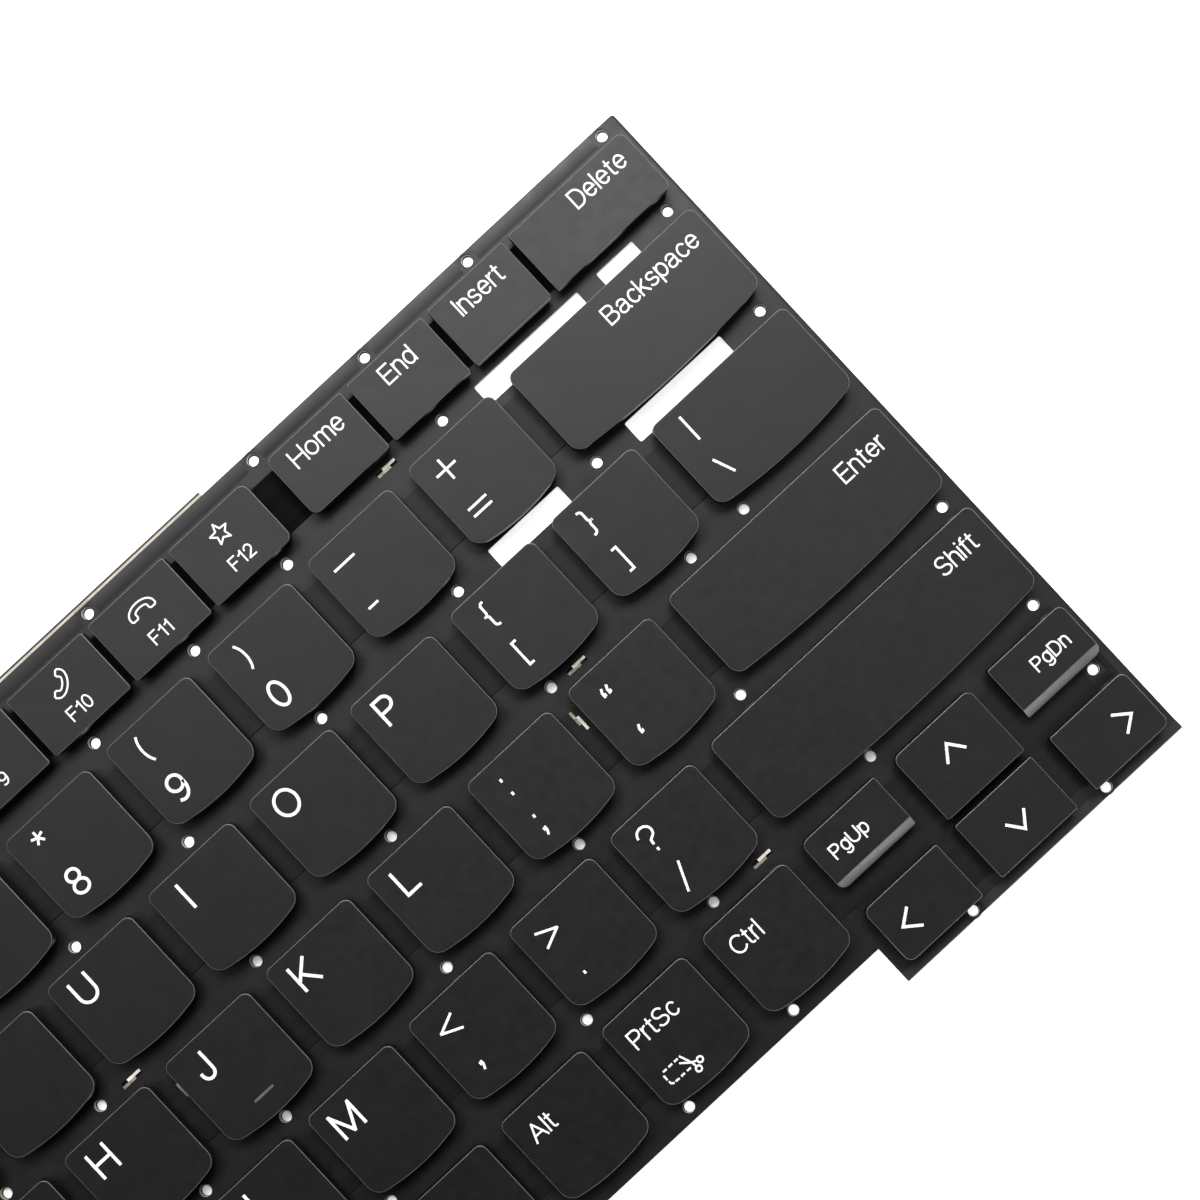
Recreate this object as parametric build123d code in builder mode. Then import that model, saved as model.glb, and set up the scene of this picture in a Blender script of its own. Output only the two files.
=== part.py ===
"""Laptop replacement keyboard: low keycaps on scissor links over a punched steel plate.

Millimetres, +Z up. X runs along the rows to the right, Y towards the function row,
and the origin is under the middle of the outline, on the underside of the back film.
"""
import os
from math import asin, atan2, cos, degrees, sin

from build123d import *

# Key grid
KEY_PITCH = 19.05
ROW_PITCH = 18.8
GRID_UNITS = 15
KEY_GAP = 3.2
LETTER_DEPTH = 15.6
SMILE = 1.0
CORNER_CUT = 0.75

# Function row
FUNCTION_DEPTH = 10.4
FUNCTION_WIDTH = 14.25
FUNCTION_KEY_GAP = 1.05
FUNCTION_GROUP_GAP = 4.1
FUNCTION_ROW_GAP = 3.8
DELETE_WIDTH = 21.5

# Cursor keys
CURSOR_UNITS = 2.75
CURSOR_MID_WIDTH = 14.5
CURSOR_GAP = 3.4
PAGE_DEPTH = 9.0
UP_DEPTH = 11.6
CURSOR_STEP = 12.7
CURSOR_DEPTH = 9.8
PAGE_SLOPE_RUN = 1.4
PAGE_SLOPE_DROP = 1.1

# Keycap section and travel
CAP_HEIGHT = 2.0
CAP_TOP = 0.8
CAP_WALL = 0.9
CAP_DRAFT = 0.22
TRAVEL = 1.5
BOTTOM_CLEARANCE = 0.2

# Plate
SIDE_MARGIN = 1.35
TOP_MARGIN = 3.1
FRONT_MARGIN = 3.2
CURSOR_FRONT_MARGIN = 2.5
CURSOR_SIDE_MARGIN = 1.9
PLATE_CORNER = 0.5
HOLE_RADIUS = 0.9
HOLE_SIDES = 8
SLIT_LENGTH = 3.4
SLIT_WIDTH = 0.8
RIB_WIDTH = 1.0
RIB_HEIGHT = 0.3
RIB_END_GAP = 2.4

# Screw holes, by their distance from the right edge of the plate, row gap by row gap
EDGE_HOLE = 3.6
TOP_HOLE_INSET = 1.2
FRONT_HOLE_INSET = 1.9
CURSOR_HOLE_INSET = 1.15
PAGE_HOLE_INSET = 1.5
GAP_HOLE_RISE = 0.25
TOP_MOUNTS = (29.0, 101.7)
FRONT_MOUNTS = (67.0, 87.0)
TOP_HOLES = (3.2, 48.8, 70.1)
GAP_HOLES = (
    (46.8, 76.5, 94.3, 113.4),
    (EDGE_HOLE, 34.9, 61.5, 87.7, 113.2, 134.9),
    (24.2, 34.3, 61.1, 91.8, 117.6, 147.4, 165.5),
    (EDGE_HOLE, 42.3, 73.2, 98.6, 129.4, 144.7),
    (34.8, 64.9, 89.2, 126.7),
)
CURSOR_HOLES = (13.5, 39.0)

# Windows, as (distance from the right edge, width, height), and slits, by that distance
UPPER_WINDOWS = ((20.7, 19.7, 3.4), (10.2, 6.8, 3.4))
LOWER_WINDOWS = ((41.2, 13.4, 3.2), (10.2, 18.2, 3.5))
UPPER_WINDOW_RISE = 0.55
LOWER_WINDOW_DROP = 0.1
UPPER_SLIT = 57.1
MIDDLE_SLITS = (56.4, 141.6)
LOWER_SLIT = 55.8
UPRIGHT_SLITS = ((61.4, 5.9), (137.1, 6.5))

# Layers, from the back
BACK_FILM = 0.15
LIGHT_GUIDE = 0.45
PLATE = 0.4
MEMBRANE = 0.25
FILM_SIDE_INSET = 5.4
FILM_END_INSET = 2.6
HOLE_WINDOW = 2.8
STRIP_MARGIN = 0.4
SPINE_WIDTH = 12.0
SPINE_FROM_LEFT = 44.0
TAB_FROM_RIGHT = 78.8
TAB_WIDTH = 128.5
FILM_TAB = 0.8
GUIDE_TAB = 0.4

# Scissor links and domes
LINK_WIDTH = 9.6
LINK_BAR = 0.7
LINK_THICKNESS = 0.6
LINK_SIDE_GAP = 0.25
LINK_END_GAP = 0.6
SEAT_GAP = 0.04
DOME_RADIUS = 1.8
DOME_TOP_RADIUS = 1.1

# Stabilizer bars of the long keys
BAR_RADIUS = 0.4
BAR_SEAT = 0.05
BAR_END_MARGIN = 4.0
LEG_LENGTH = 4.4
LEG_WIDTH = 0.8
LEG_THICKNESS = 0.5
LEG_CLEARANCE = 0.2
HOOK_WIDTH = 1.6
HOOK_SHEET = 0.35
HOOK_GAP = 0.1
BAR_WALL_GAP = 0.15

# Heights
PLATE_BASE = BACK_FILM + LIGHT_GUIDE
PLATE_FACE = PLATE_BASE + PLATE
MEMBRANE_FACE = PLATE_FACE + MEMBRANE
SKIRT = MEMBRANE_FACE + BOTTOM_CLEARANCE + TRAVEL
CEILING = SKIRT + CAP_HEIGHT - CAP_TOP
DRAFT_ANGLE = degrees(atan2(CAP_DRAFT, CAP_HEIGHT))

# Room that a bar and its hook take between the links and the inside of a letter cap
BAR_SPACE = STRIP_MARGIN + 2 * HOOK_GAP + HOOK_SHEET + 2 * BAR_RADIUS + BAR_WALL_GAP

# Outline of the plate, set about the middle of the whole depth with the film tab
PLATE_WIDTH = GRID_UNITS * KEY_PITCH - KEY_GAP + 2 * SIDE_MARGIN
ROWS_DEPTH = TOP_MARGIN + FUNCTION_DEPTH + FUNCTION_ROW_GAP + 4 * ROW_PITCH
PLATE_DEPTH = ROWS_DEPTH + CURSOR_STEP + CURSOR_DEPTH + CURSOR_FRONT_MARGIN
RIGHT = PLATE_WIDTH / 2
TOP = PLATE_DEPTH / 2 - FILM_TAB / 2
BOTTOM = TOP - PLATE_DEPTH
FUNCTION_TOP = TOP - TOP_MARGIN
NUMBER_TOP = FUNCTION_TOP - FUNCTION_DEPTH - FUNCTION_ROW_GAP
SPACE_TOP = NUMBER_TOP - 4 * ROW_PITCH
MAIN_BOTTOM = SPACE_TOP - LETTER_DEPTH - FRONT_MARGIN
KEYS_LEFT = SIDE_MARGIN - RIGHT
KEYS_RIGHT = -KEYS_LEFT
GRID_LEFT = KEYS_LEFT - KEY_GAP / 2
CURSOR_LEFT = GRID_LEFT + (GRID_UNITS - CURSOR_UNITS) * KEY_PITCH + KEY_GAP / 2

LETTER_ROWS = (
    "grave:1 one:1 two:1 three:1 four:1 five:1 six:1 seven:1 eight:1 nine:1 zero:1 "
    "minus:1 equals:1 backspace:2",
    "tab:1.5 q:1 w:1 e:1 r:1 t:1 y:1 u:1 i:1 o:1 p:1 left_bracket:1 right_bracket:1 "
    "backslash:1.5",
    "caps:1.75 a:1 s:1 d:1 f:1 g:1 h:1 j:1 k:1 l:1 semicolon:1 quote:1 enter:2.25",
    "left_shift:2.25 z:1 x:1 c:1 v:1 b:1 n:1 m:1 comma:1 period:1 slash:1 "
    "right_shift:2.75",
    "fn:1 left_ctrl:1.25 system:1 left_alt:1 space:5 right_alt:1 print:1 right_ctrl:1",
)
FUNCTION_GROUPS = (
    "delete insert end home",
    "f12 f11 f10 f9",
    "f8 f7 f6 f5",
    "f4 f3 f2 f1",
)
FIRST_MOVING = ("seven", "y", "h", "n", "space")


class Key:
    """Place, size and corner cuts of one key, measured at the foot of its skirt."""

    def __init__(self, name, left, top, width, depth, cuts="", smile=0.0, slope=False):
        self.name = name
        self.left, self.right = left, left + width
        self.top, self.bottom = top, top - depth
        self.width, self.depth = width, depth
        self.x = left + width / 2
        self.cuts, self.smile, self.slope = cuts, smile, slope
        self.inner_top = top - CAP_WALL
        self.inner_bottom = self.bottom + smile + CAP_WALL
        self.y = (self.inner_top + self.inner_bottom) / 2
        self.inner_depth = self.inner_top - self.inner_bottom
        self.link_length = self.inner_depth - 2 * (BAR_SPACE if smile else LINK_END_GAP)


def letter_keys():
    """Five rows of letter keys, as (held, moving) lists of keys."""
    held, moving = [], []
    for index, (row, first) in enumerate(zip(LETTER_ROWS, FIRST_MOVING)):
        place, seen = GRID_LEFT, False
        for entry in row.split():
            name, units = entry.split(":")
            seen = seen or name == first
            key = Key(
                "key_" + name,
                place + KEY_GAP / 2,
                NUMBER_TOP - index * ROW_PITCH,
                float(units) * KEY_PITCH - KEY_GAP,
                LETTER_DEPTH,
                smile=SMILE,
            )
            (moving if seen else held).append(key)
            place += float(units) * KEY_PITCH
    return held, moving


def function_keys():
    """The function row in groups, from the right; escape takes what is left over."""
    held, moving = [], []
    right = KEYS_RIGHT
    for index, group in enumerate(FUNCTION_GROUPS):
        names = group.split()
        for name in names:
            width = DELETE_WIDTH if name == "delete" else FUNCTION_WIDTH
            cuts = "right" if name == names[0] else ""
            cuts = "left" if name == names[-1] else cuts
            key = Key("key_" + name, right - width, FUNCTION_TOP, width, FUNCTION_DEPTH, cuts)
            (moving if index < 2 else held).append(key)
            right -= width + FUNCTION_KEY_GAP
        right += FUNCTION_KEY_GAP - FUNCTION_GROUP_GAP
    width = right - KEYS_LEFT
    held.append(Key("key_escape", KEYS_LEFT, FUNCTION_TOP, width, FUNCTION_DEPTH, "left right"))
    return held, moving


def cursor_keys():
    """Six cursor keys in two short rows, under the right shift key."""
    mid = (CURSOR_LEFT + KEYS_RIGHT - CURSOR_MID_WIDTH) / 2
    side = mid - CURSOR_GAP - CURSOR_LEFT
    far = KEYS_RIGHT - side
    low = SPACE_TOP - CURSOR_STEP
    return [
        Key("key_page_up", CURSOR_LEFT, SPACE_TOP, side, PAGE_DEPTH, "left", slope=True),
        Key("key_up", mid, SPACE_TOP, CURSOR_MID_WIDTH, UP_DEPTH, "upper"),
        Key("key_page_down", far, SPACE_TOP, side, PAGE_DEPTH, "right", slope=True),
        Key("key_left", CURSOR_LEFT, low, side, CURSOR_DEPTH, "left"),
        Key("key_down", mid, low, CURSOR_MID_WIDTH, CURSOR_DEPTH),
        Key("key_right", far, low, side, CURSOR_DEPTH, "right"),
    ]


def cap_outline(key, plain=False):
    """Foot of a cap: a letter cap swells forward in an arc, others are oblong."""
    cut = CORNER_CUT
    chord = key.bottom + key.smile
    with BuildSketch(Plane.XY.offset(SKIRT)) as outline:
        if key.smile and plain:
            with BuildLine():
                edge = Polyline(
                    (key.right, chord),
                    (key.right, key.top),
                    (key.left, key.top),
                    (key.left, chord),
                )
                ThreePointArc(edge @ 1, (key.x, key.bottom), edge @ 0)
            make_face()
        elif key.smile:
            with BuildLine():
                edge = Polyline(
                    (key.right - cut, chord),
                    (key.right, chord + cut),
                    (key.right, key.top - cut),
                    (key.right - cut, key.top),
                    (key.left + cut, key.top),
                    (key.left, key.top - cut),
                    (key.left, chord + cut),
                    (key.left + cut, chord),
                )
                ThreePointArc(edge @ 1, (key.x, key.bottom), edge @ 0)
            make_face()
        else:
            with Locations((key.x, (key.top + key.bottom) / 2)):
                Rectangle(key.width, key.depth)
            for name, axis, end in (
                ("left", Axis.X, 0),
                ("right", Axis.X, -1),
                ("upper", Axis.Y, -1),
            ):
                if name in key.cuts and not plain:
                    chamfer(outline.vertices().group_by(axis)[end], cut)
    return outline.sketch


def keycap(key):
    """Hollow cap with drafted sides; the page keys slope off at the front."""
    with BuildPart() as cap:
        add(cap_outline(key))
        extrude(amount=CAP_HEIGHT, taper=DRAFT_ANGLE)
        if key.slope:
            brow = key.bottom + CAP_DRAFT + PAGE_SLOPE_RUN
            slope = Plane(
                origin=(key.x, brow, SKIRT + CAP_HEIGHT),
                x_dir=(1, 0, 0),
                z_dir=(0, -PAGE_SLOPE_DROP, PAGE_SLOPE_RUN),
            )
            split(bisect_by=slope, keep=Keep.BOTTOM)
        with BuildSketch(Plane.XY.offset(SKIRT)):
            with Locations((key.x, key.y)):
                Rectangle(key.width - 2 * CAP_WALL, key.inner_depth)
        extrude(amount=CAP_HEIGHT - CAP_TOP, mode=Mode.SUBTRACT)
    return cap.part


def held_bank(keys):
    """Left-hand caps, each one solid with the folded carrier under it."""
    with BuildPart() as bank:
        for key in keys:
            add(cap_outline(key, plain=True))
        extrude(amount=CAP_HEIGHT, taper=DRAFT_ANGLE)
        for key in keys:
            with BuildSketch(Plane.XY.offset(MEMBRANE_FACE)):
                with Locations((key.x, key.y)):
                    Rectangle(LINK_WIDTH, key.link_length)
        extrude(amount=SKIRT - MEMBRANE_FACE)
    return bank.part


def links(keys, width, climb):
    """One frame of the scissor under each key, climbing to the back or to the front."""
    height = CEILING - MEMBRANE_FACE - 2 * SEAT_GAP - LINK_THICKNESS
    with BuildPart() as frames:
        for key in keys:
            tilt = climb * asin(height / key.link_length)
            plane = Plane(
                origin=(key.x, key.y, (CEILING + MEMBRANE_FACE) / 2),
                x_dir=(1, 0, 0),
                z_dir=(0, -sin(tilt), cos(tilt)),
            )
            with BuildSketch(plane):
                Rectangle(width, key.link_length)
                Rectangle(width - 2 * LINK_BAR, key.link_length - 2 * LINK_BAR, mode=Mode.SUBTRACT)
        extrude(amount=LINK_THICKNESS / 2, both=True)
    return frames.part


def domes(keys):
    """Silicone domes, six-sided, from the membrane to the underside of each cap."""
    height = CEILING - MEMBRANE_FACE - SEAT_GAP
    taper = degrees(atan2(DOME_RADIUS - DOME_TOP_RADIUS, height))
    with BuildPart() as group:
        with BuildSketch(Plane.XY.offset(MEMBRANE_FACE)):
            with Locations(*[(key.x, key.y) for key in keys]):
                RegularPolygon(DOME_RADIUS, 6)
        extrude(amount=height, taper=taper)
    return group.part


def bar_line(key):
    """Y and Z of a stabilizer bar's axis, ahead of the links and just off the plate."""
    return key.inner_bottom + BAR_WALL_GAP + BAR_RADIUS, PLATE_FACE + BAR_SEAT + BAR_RADIUS


def leg_places(key):
    """X of the two legs of a stabilizer bar."""
    reach = key.width / 2 - BAR_END_MARGIN
    return key.x - reach, key.x + reach


def stabilizer(key):
    """Round bar along the key with a leg at each end that reaches up under the cap."""
    y, z = bar_line(key)
    rise = CEILING - LEG_CLEARANCE - LEG_THICKNESS / 2 - z
    tilt = asin(rise / LEG_LENGTH)
    first, last = leg_places(key)
    with BuildPart() as bar:
        with BuildSketch(Plane(origin=(first - LEG_WIDTH / 2, y, z), z_dir=(1, 0, 0))):
            Circle(BAR_RADIUS)
        extrude(amount=last - first + LEG_WIDTH)
        for x in (first, last):
            plane = Plane(
                origin=(x, y, z),
                x_dir=(1, 0, 0),
                z_dir=(0, -sin(tilt), cos(tilt)),
            )
            with BuildSketch(plane):
                with Locations((0, LEG_LENGTH / 2)):
                    Rectangle(LEG_WIDTH, LEG_LENGTH)
            extrude(amount=LEG_THICKNESS / 2, both=True)
    return bar.part


def from_right(distance, y):
    """Point at a distance from the right edge of the plate."""
    return RIGHT - distance, y


def hole_places():
    """Screw holes: (round mounting holes, clearance holes), row gap by row gap."""
    gap_lines = [NUMBER_TOP + FUNCTION_ROW_GAP / 2 + GAP_HOLE_RISE]
    for index in range(1, len(GAP_HOLES)):
        middle = NUMBER_TOP - index * ROW_PITCH + (ROW_PITCH - LETTER_DEPTH) / 2
        gap_lines.append(middle + GAP_HOLE_RISE)
    top_line = TOP - TOP_HOLE_INSET
    front_line = MAIN_BOTTOM + FRONT_HOLE_INSET
    cursor_line = BOTTOM + CURSOR_HOLE_INSET
    both_edges = (EDGE_HOLE, PLATE_WIDTH - EDGE_HOLE)
    mounting = [from_right(d, y) for d in both_edges for y in (gap_lines[0], gap_lines[-1])]
    mounting += [from_right(d, top_line) for d in TOP_MOUNTS]
    mounting += [from_right(d, front_line) for d in FRONT_MOUNTS]
    clearance = [from_right(d, top_line) for d in TOP_HOLES]
    for distances, line in zip(GAP_HOLES, gap_lines):
        clearance += [from_right(d, line) for d in distances]
    clearance += [from_right(d, cursor_line) for d in CURSOR_HOLES]
    clearance += [from_right(EDGE_HOLE, SPACE_TOP - PAGE_DEPTH - PAGE_HOLE_INSET)]
    return mounting, clearance


def window_places():
    """Oblong windows in the upper two row gaps: (right distance, top, width, height)."""
    upper = NUMBER_TOP + FUNCTION_ROW_GAP / 2 + UPPER_WINDOW_RISE
    lower = NUMBER_TOP - LETTER_DEPTH - LOWER_WINDOW_DROP
    windows = [(d, upper, width, height) for d, width, height in UPPER_WINDOWS]
    windows += [(d, lower, width, height) for d, width, height in LOWER_WINDOWS]
    return windows


def slit_places():
    """Lanced slits beside the row gaps: lying ones, then upright ones."""
    upper = NUMBER_TOP + FUNCTION_ROW_GAP / 2 + UPPER_WINDOW_RISE
    middle = NUMBER_TOP - 2 * ROW_PITCH + (ROW_PITCH - LETTER_DEPTH) / 2
    lower = middle - 2 * ROW_PITCH
    lying = [from_right(UPPER_SLIT, upper)] + [from_right(d, middle) for d in MIDDLE_SLITS]
    lying += [from_right(LOWER_SLIT, lower)]
    upright = [from_right(d, middle - drop) for d, drop in UPRIGHT_SLITS]
    return lying, upright


def support_plate(long_keys):
    """Pressed steel plate with screw holes, windows, a ribbed top edge and bar hooks."""
    mounting, clearance = hole_places()
    lying, upright = slit_places()
    with BuildPart() as plate:
        with BuildSketch(Plane.XY.offset(PLATE_BASE)) as sheet:
            with BuildLine():
                Polyline(
                    (-RIGHT, TOP),
                    (-RIGHT, MAIN_BOTTOM),
                    (CURSOR_LEFT - CURSOR_SIDE_MARGIN, MAIN_BOTTOM),
                    (CURSOR_LEFT - CURSOR_SIDE_MARGIN, BOTTOM),
                    (RIGHT, BOTTOM),
                    (RIGHT, TOP),
                    close=True,
                )
            make_face()
            chamfer(sheet.vertices().group_by(Axis.X)[-1], PLATE_CORNER)
            with Locations(*mounting):
                Circle(HOLE_RADIUS, mode=Mode.SUBTRACT)
            with Locations(*clearance):
                RegularPolygon(HOLE_RADIUS, HOLE_SIDES, major_radius=False, mode=Mode.SUBTRACT)
            for distance, top, width, height in window_places():
                with Locations((RIGHT - distance - width / 2, top - height / 2)):
                    Rectangle(width, height, mode=Mode.SUBTRACT)
            with Locations(*lying):
                Rectangle(SLIT_LENGTH, SLIT_WIDTH, mode=Mode.SUBTRACT)
            with Locations(*upright):
                Rectangle(SLIT_WIDTH, SLIT_LENGTH, mode=Mode.SUBTRACT)
        extrude(amount=PLATE)
        top_holes = sorted(x for x, y in mounting + clearance if y > FUNCTION_TOP)
        starts = [-RIGHT] + top_holes
        with BuildSketch(Plane.XY.offset(PLATE_FACE)):
            for start, end in zip(starts, top_holes):
                with Locations(((start + end) / 2, TOP - TOP_HOLE_INSET)):
                    Rectangle(end - start - 2 * RIB_END_GAP, RIB_WIDTH)
        extrude(amount=RIB_HEIGHT)
        for key in long_keys:
            y, z = bar_line(key)
            back = y + BAR_RADIUS + HOOK_GAP
            roof = z + BAR_RADIUS + HOOK_GAP
            for x, side in zip(leg_places(key), (1, -1)):
                centre = x + side * (LEG_WIDTH / 2 + HOOK_GAP + HOOK_WIDTH / 2)
                with BuildSketch(Plane(origin=(centre, 0, 0), x_dir=(0, 1, 0), z_dir=(1, 0, 0))):
                    with BuildLine():
                        Polyline(
                            (back, PLATE_FACE),
                            (back, roof),
                            (y - BAR_RADIUS, roof),
                            (y - BAR_RADIUS, roof + HOOK_SHEET),
                            (back + HOOK_SHEET, roof + HOOK_SHEET),
                            (back + HOOK_SHEET, PLATE_FACE),
                            close=True,
                        )
                    make_face()
        extrude(amount=HOOK_WIDTH / 2, both=True)
    return plate.part


def strip_sketch(rows, holes):
    """Strips under the key rows, joined by one spine and open round the screw holes."""
    back, front = rows[0][0], rows[5][1]
    with BuildSketch() as strips:
        for top, bottom, left in rows:
            with Locations(((left + KEYS_RIGHT) / 2, (top + bottom) / 2)):
                Rectangle(KEYS_RIGHT - left, top - bottom)
        with Locations((KEYS_LEFT + SPINE_FROM_LEFT, (back + front) / 2)):
            Rectangle(SPINE_WIDTH, back - front)
        with Locations(*holes):
            Rectangle(HOLE_WINDOW, HOLE_WINDOW, mode=Mode.SUBTRACT)
    return strips.sketch


def strip_rows(function_key, letter_key, low_key, page_key):
    """Back edge, front edge and left end of each strip, from the links above it."""
    rows = []
    for key in (function_key, letter_key):
        half = key.link_length / 2 + STRIP_MARGIN
        rows.append((key.y + half, key.y - half, KEYS_LEFT))
    top, bottom, left = rows.pop()
    rows += [(top - i * ROW_PITCH, bottom - i * ROW_PITCH, left) for i in range(5)]
    half = low_key.link_length / 2 + STRIP_MARGIN
    rows.append((page_key.y, low_key.y - half, CURSOR_LEFT))
    return rows


held_letters, moving_letters = letter_keys()
held_functions, moving_functions = function_keys()
cursors = cursor_keys()
moving = moving_functions + moving_letters + cursors
long_keys = [key for key in moving_letters if key.width > 1.6 * KEY_PITCH]
named = {key.name: key for key in moving}
rows = strip_rows(
    named["key_f9"], named["key_seven"], named["key_left"], named["key_page_up"]
)
mounting_holes, clearance_holes = hole_places()
holes = mounting_holes + clearance_holes

with BuildPart() as membrane:
    with BuildSketch(Plane.XY.offset(PLATE_FACE)):
        add(strip_sketch(rows, holes))
    extrude(amount=MEMBRANE)

tab_middle = RIGHT - TAB_FROM_RIGHT - TAB_WIDTH / 2
with BuildPart() as light_guide:
    with BuildSketch(Plane.XY.offset(BACK_FILM)):
        add(strip_sketch(rows, holes))
        with Locations((tab_middle, (TOP + GUIDE_TAB + rows[0][0]) / 2)):
            Rectangle(TAB_WIDTH, TOP + GUIDE_TAB - rows[0][0])
        with Locations(*holes):
            Rectangle(HOLE_WINDOW, HOLE_WINDOW, mode=Mode.SUBTRACT)
    extrude(amount=LIGHT_GUIDE)

with BuildPart() as back_film:
    with BuildSketch():
        with BuildLine():
            Polyline(
                (FILM_SIDE_INSET - RIGHT, TOP - FILM_END_INSET),
                (FILM_SIDE_INSET - RIGHT, MAIN_BOTTOM + FILM_END_INSET),
                (CURSOR_LEFT, MAIN_BOTTOM + FILM_END_INSET),
                (CURSOR_LEFT, BOTTOM + FILM_END_INSET),
                (RIGHT - FILM_SIDE_INSET, BOTTOM + FILM_END_INSET),
                (RIGHT - FILM_SIDE_INSET, TOP - FILM_END_INSET),
                close=True,
            )
        make_face()
        with Locations((tab_middle, TOP + (FILM_TAB - FILM_END_INSET) / 2)):
            Rectangle(TAB_WIDTH, FILM_TAB + FILM_END_INSET)
        with Locations(*holes):
            Rectangle(HOLE_WINDOW, HOLE_WINDOW, mode=Mode.SUBTRACT)
        for distance, top, width, height in window_places():
            with Locations((RIGHT - distance - width / 2, top - height / 2)):
                Rectangle(width + 1, height, mode=Mode.SUBTRACT)
    extrude(amount=BACK_FILM)

pieces = {
    "back_film": back_film.part,
    "light_guide": light_guide.part,
    "support_plate": support_plate(long_keys),
    "switch_membrane": membrane.part,
    "rubber_domes": domes(moving),
    "outer_links": links(moving, LINK_WIDTH, 1),
    "inner_links": links(moving, LINK_WIDTH - 2 * LINK_BAR - 2 * LINK_SIDE_GAP, -1),
    "left_function_keys": held_bank(held_functions),
    "left_letter_keys": held_bank(held_letters[:-4]),
    "left_bottom_keys": held_bank(held_letters[-4:]),
}
for key in long_keys:
    pieces[key.name.replace("key_", "stabilizer_")] = stabilizer(key)
for key in moving:
    pieces[key.name] = keycap(key)

os.makedirs("parts", exist_ok=True)
for name, part in pieces.items():
    part.label = name
    export_step(part, f"parts/{name}.step")
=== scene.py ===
"""Laptop replacement keyboard: black keycaps with white legends over a punched black plate."""
from math import asin, ceil, cos, radians, sin

import bpy
from mathutils import Matrix, Vector


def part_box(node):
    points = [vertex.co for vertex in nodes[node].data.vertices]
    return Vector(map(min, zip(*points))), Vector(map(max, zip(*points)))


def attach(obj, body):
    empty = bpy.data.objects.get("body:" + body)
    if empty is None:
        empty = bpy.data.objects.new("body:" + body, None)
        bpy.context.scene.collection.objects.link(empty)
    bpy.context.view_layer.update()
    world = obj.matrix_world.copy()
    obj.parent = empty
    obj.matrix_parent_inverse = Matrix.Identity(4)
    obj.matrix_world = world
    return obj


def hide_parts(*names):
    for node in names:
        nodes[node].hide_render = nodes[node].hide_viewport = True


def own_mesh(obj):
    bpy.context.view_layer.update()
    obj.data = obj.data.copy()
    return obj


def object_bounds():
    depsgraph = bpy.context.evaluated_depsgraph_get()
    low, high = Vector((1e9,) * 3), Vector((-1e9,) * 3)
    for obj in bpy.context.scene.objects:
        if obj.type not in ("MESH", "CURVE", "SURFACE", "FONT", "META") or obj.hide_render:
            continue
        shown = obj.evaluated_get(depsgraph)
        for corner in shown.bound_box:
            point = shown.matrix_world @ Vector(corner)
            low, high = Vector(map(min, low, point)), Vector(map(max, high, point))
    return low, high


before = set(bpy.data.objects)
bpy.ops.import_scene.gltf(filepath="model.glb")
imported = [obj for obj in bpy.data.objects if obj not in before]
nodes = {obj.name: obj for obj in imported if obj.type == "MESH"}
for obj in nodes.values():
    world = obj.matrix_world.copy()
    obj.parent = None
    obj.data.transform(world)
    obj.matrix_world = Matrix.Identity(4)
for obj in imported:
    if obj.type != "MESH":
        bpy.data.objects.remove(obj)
cad_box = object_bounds()


# Back film
# A thin black polyester sheet that closes the back of the keyboard. It is die cut and glued on,
# and its tab shows as a dark line behind the upper edge.
MM = 0.001
FILM_BLACKS = (0.010, 0.010, 0.011), (0.019, 0.019, 0.020)


def new_finish(name, **sockets):
    """A new finish, with the sockets of its shader that are the same all over."""
    finish = bpy.data.materials.new(name)
    finish.use_nodes = True
    shader = finish.node_tree.nodes["Principled BSDF"]
    for socket, value in sockets.items():
        shader.inputs[socket.replace("_", " ")].default_value = value
    return finish


def noise_of(finish, size, detail=3.0, stretch=(1, 1, 1)):
    """A noise on the piece's own coordinates, with grains of a size in millimetres."""
    tree = finish.node_tree
    place = tree.nodes.new("ShaderNodeTexCoord")
    mapping = tree.nodes.new("ShaderNodeMapping")
    mapping.inputs["Scale"].default_value = stretch
    noise = tree.nodes.new("ShaderNodeTexNoise")
    noise.inputs["Scale"].default_value = 1 / (size * MM)
    noise.inputs["Detail"].default_value = detail
    tree.links.new(place.outputs["Object"], mapping.inputs["Vector"])
    tree.links.new(mapping.outputs["Vector"], noise.inputs["Vector"])
    return noise.outputs["Fac"]


def mottle(finish, size, colours, stretch=(1, 1, 1)):
    """Base colour that drifts between two colours."""
    tree = finish.node_tree
    ramp = tree.nodes.new("ShaderNodeValToRGB")
    for stop, place, colour in zip(ramp.color_ramp.elements, (0.3, 0.7), colours):
        stop.position = place
        stop.color = (*colour, 1)
    tree.links.new(noise_of(finish, size, stretch=stretch), ramp.inputs["Fac"])
    tree.links.new(ramp.outputs["Color"], tree.nodes["Principled BSDF"].inputs["Base Color"])


def gloss(finish, size, low, high):
    """Roughness that drifts between two values."""
    tree = finish.node_tree
    spread = tree.nodes.new("ShaderNodeMapRange")
    spread.inputs["From Min"].default_value = 0.3
    spread.inputs["From Max"].default_value = 0.7
    spread.inputs["To Min"].default_value = low
    spread.inputs["To Max"].default_value = high
    tree.links.new(noise_of(finish, size), spread.inputs["Value"])
    tree.links.new(spread.outputs["Result"], tree.nodes["Principled BSDF"].inputs["Roughness"])


def grain(finish, size, height, strength):
    """Fine relief of the surface, with a grain size and a height in millimetres."""
    tree = finish.node_tree
    bump = tree.nodes.new("ShaderNodeBump")
    bump.inputs["Distance"].default_value = height * MM
    bump.inputs["Strength"].default_value = strength
    tree.links.new(noise_of(finish, size, detail=2.0), bump.inputs["Height"])
    tree.links.new(bump.outputs["Normal"], tree.nodes["Principled BSDF"].inputs["Normal"])


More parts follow.
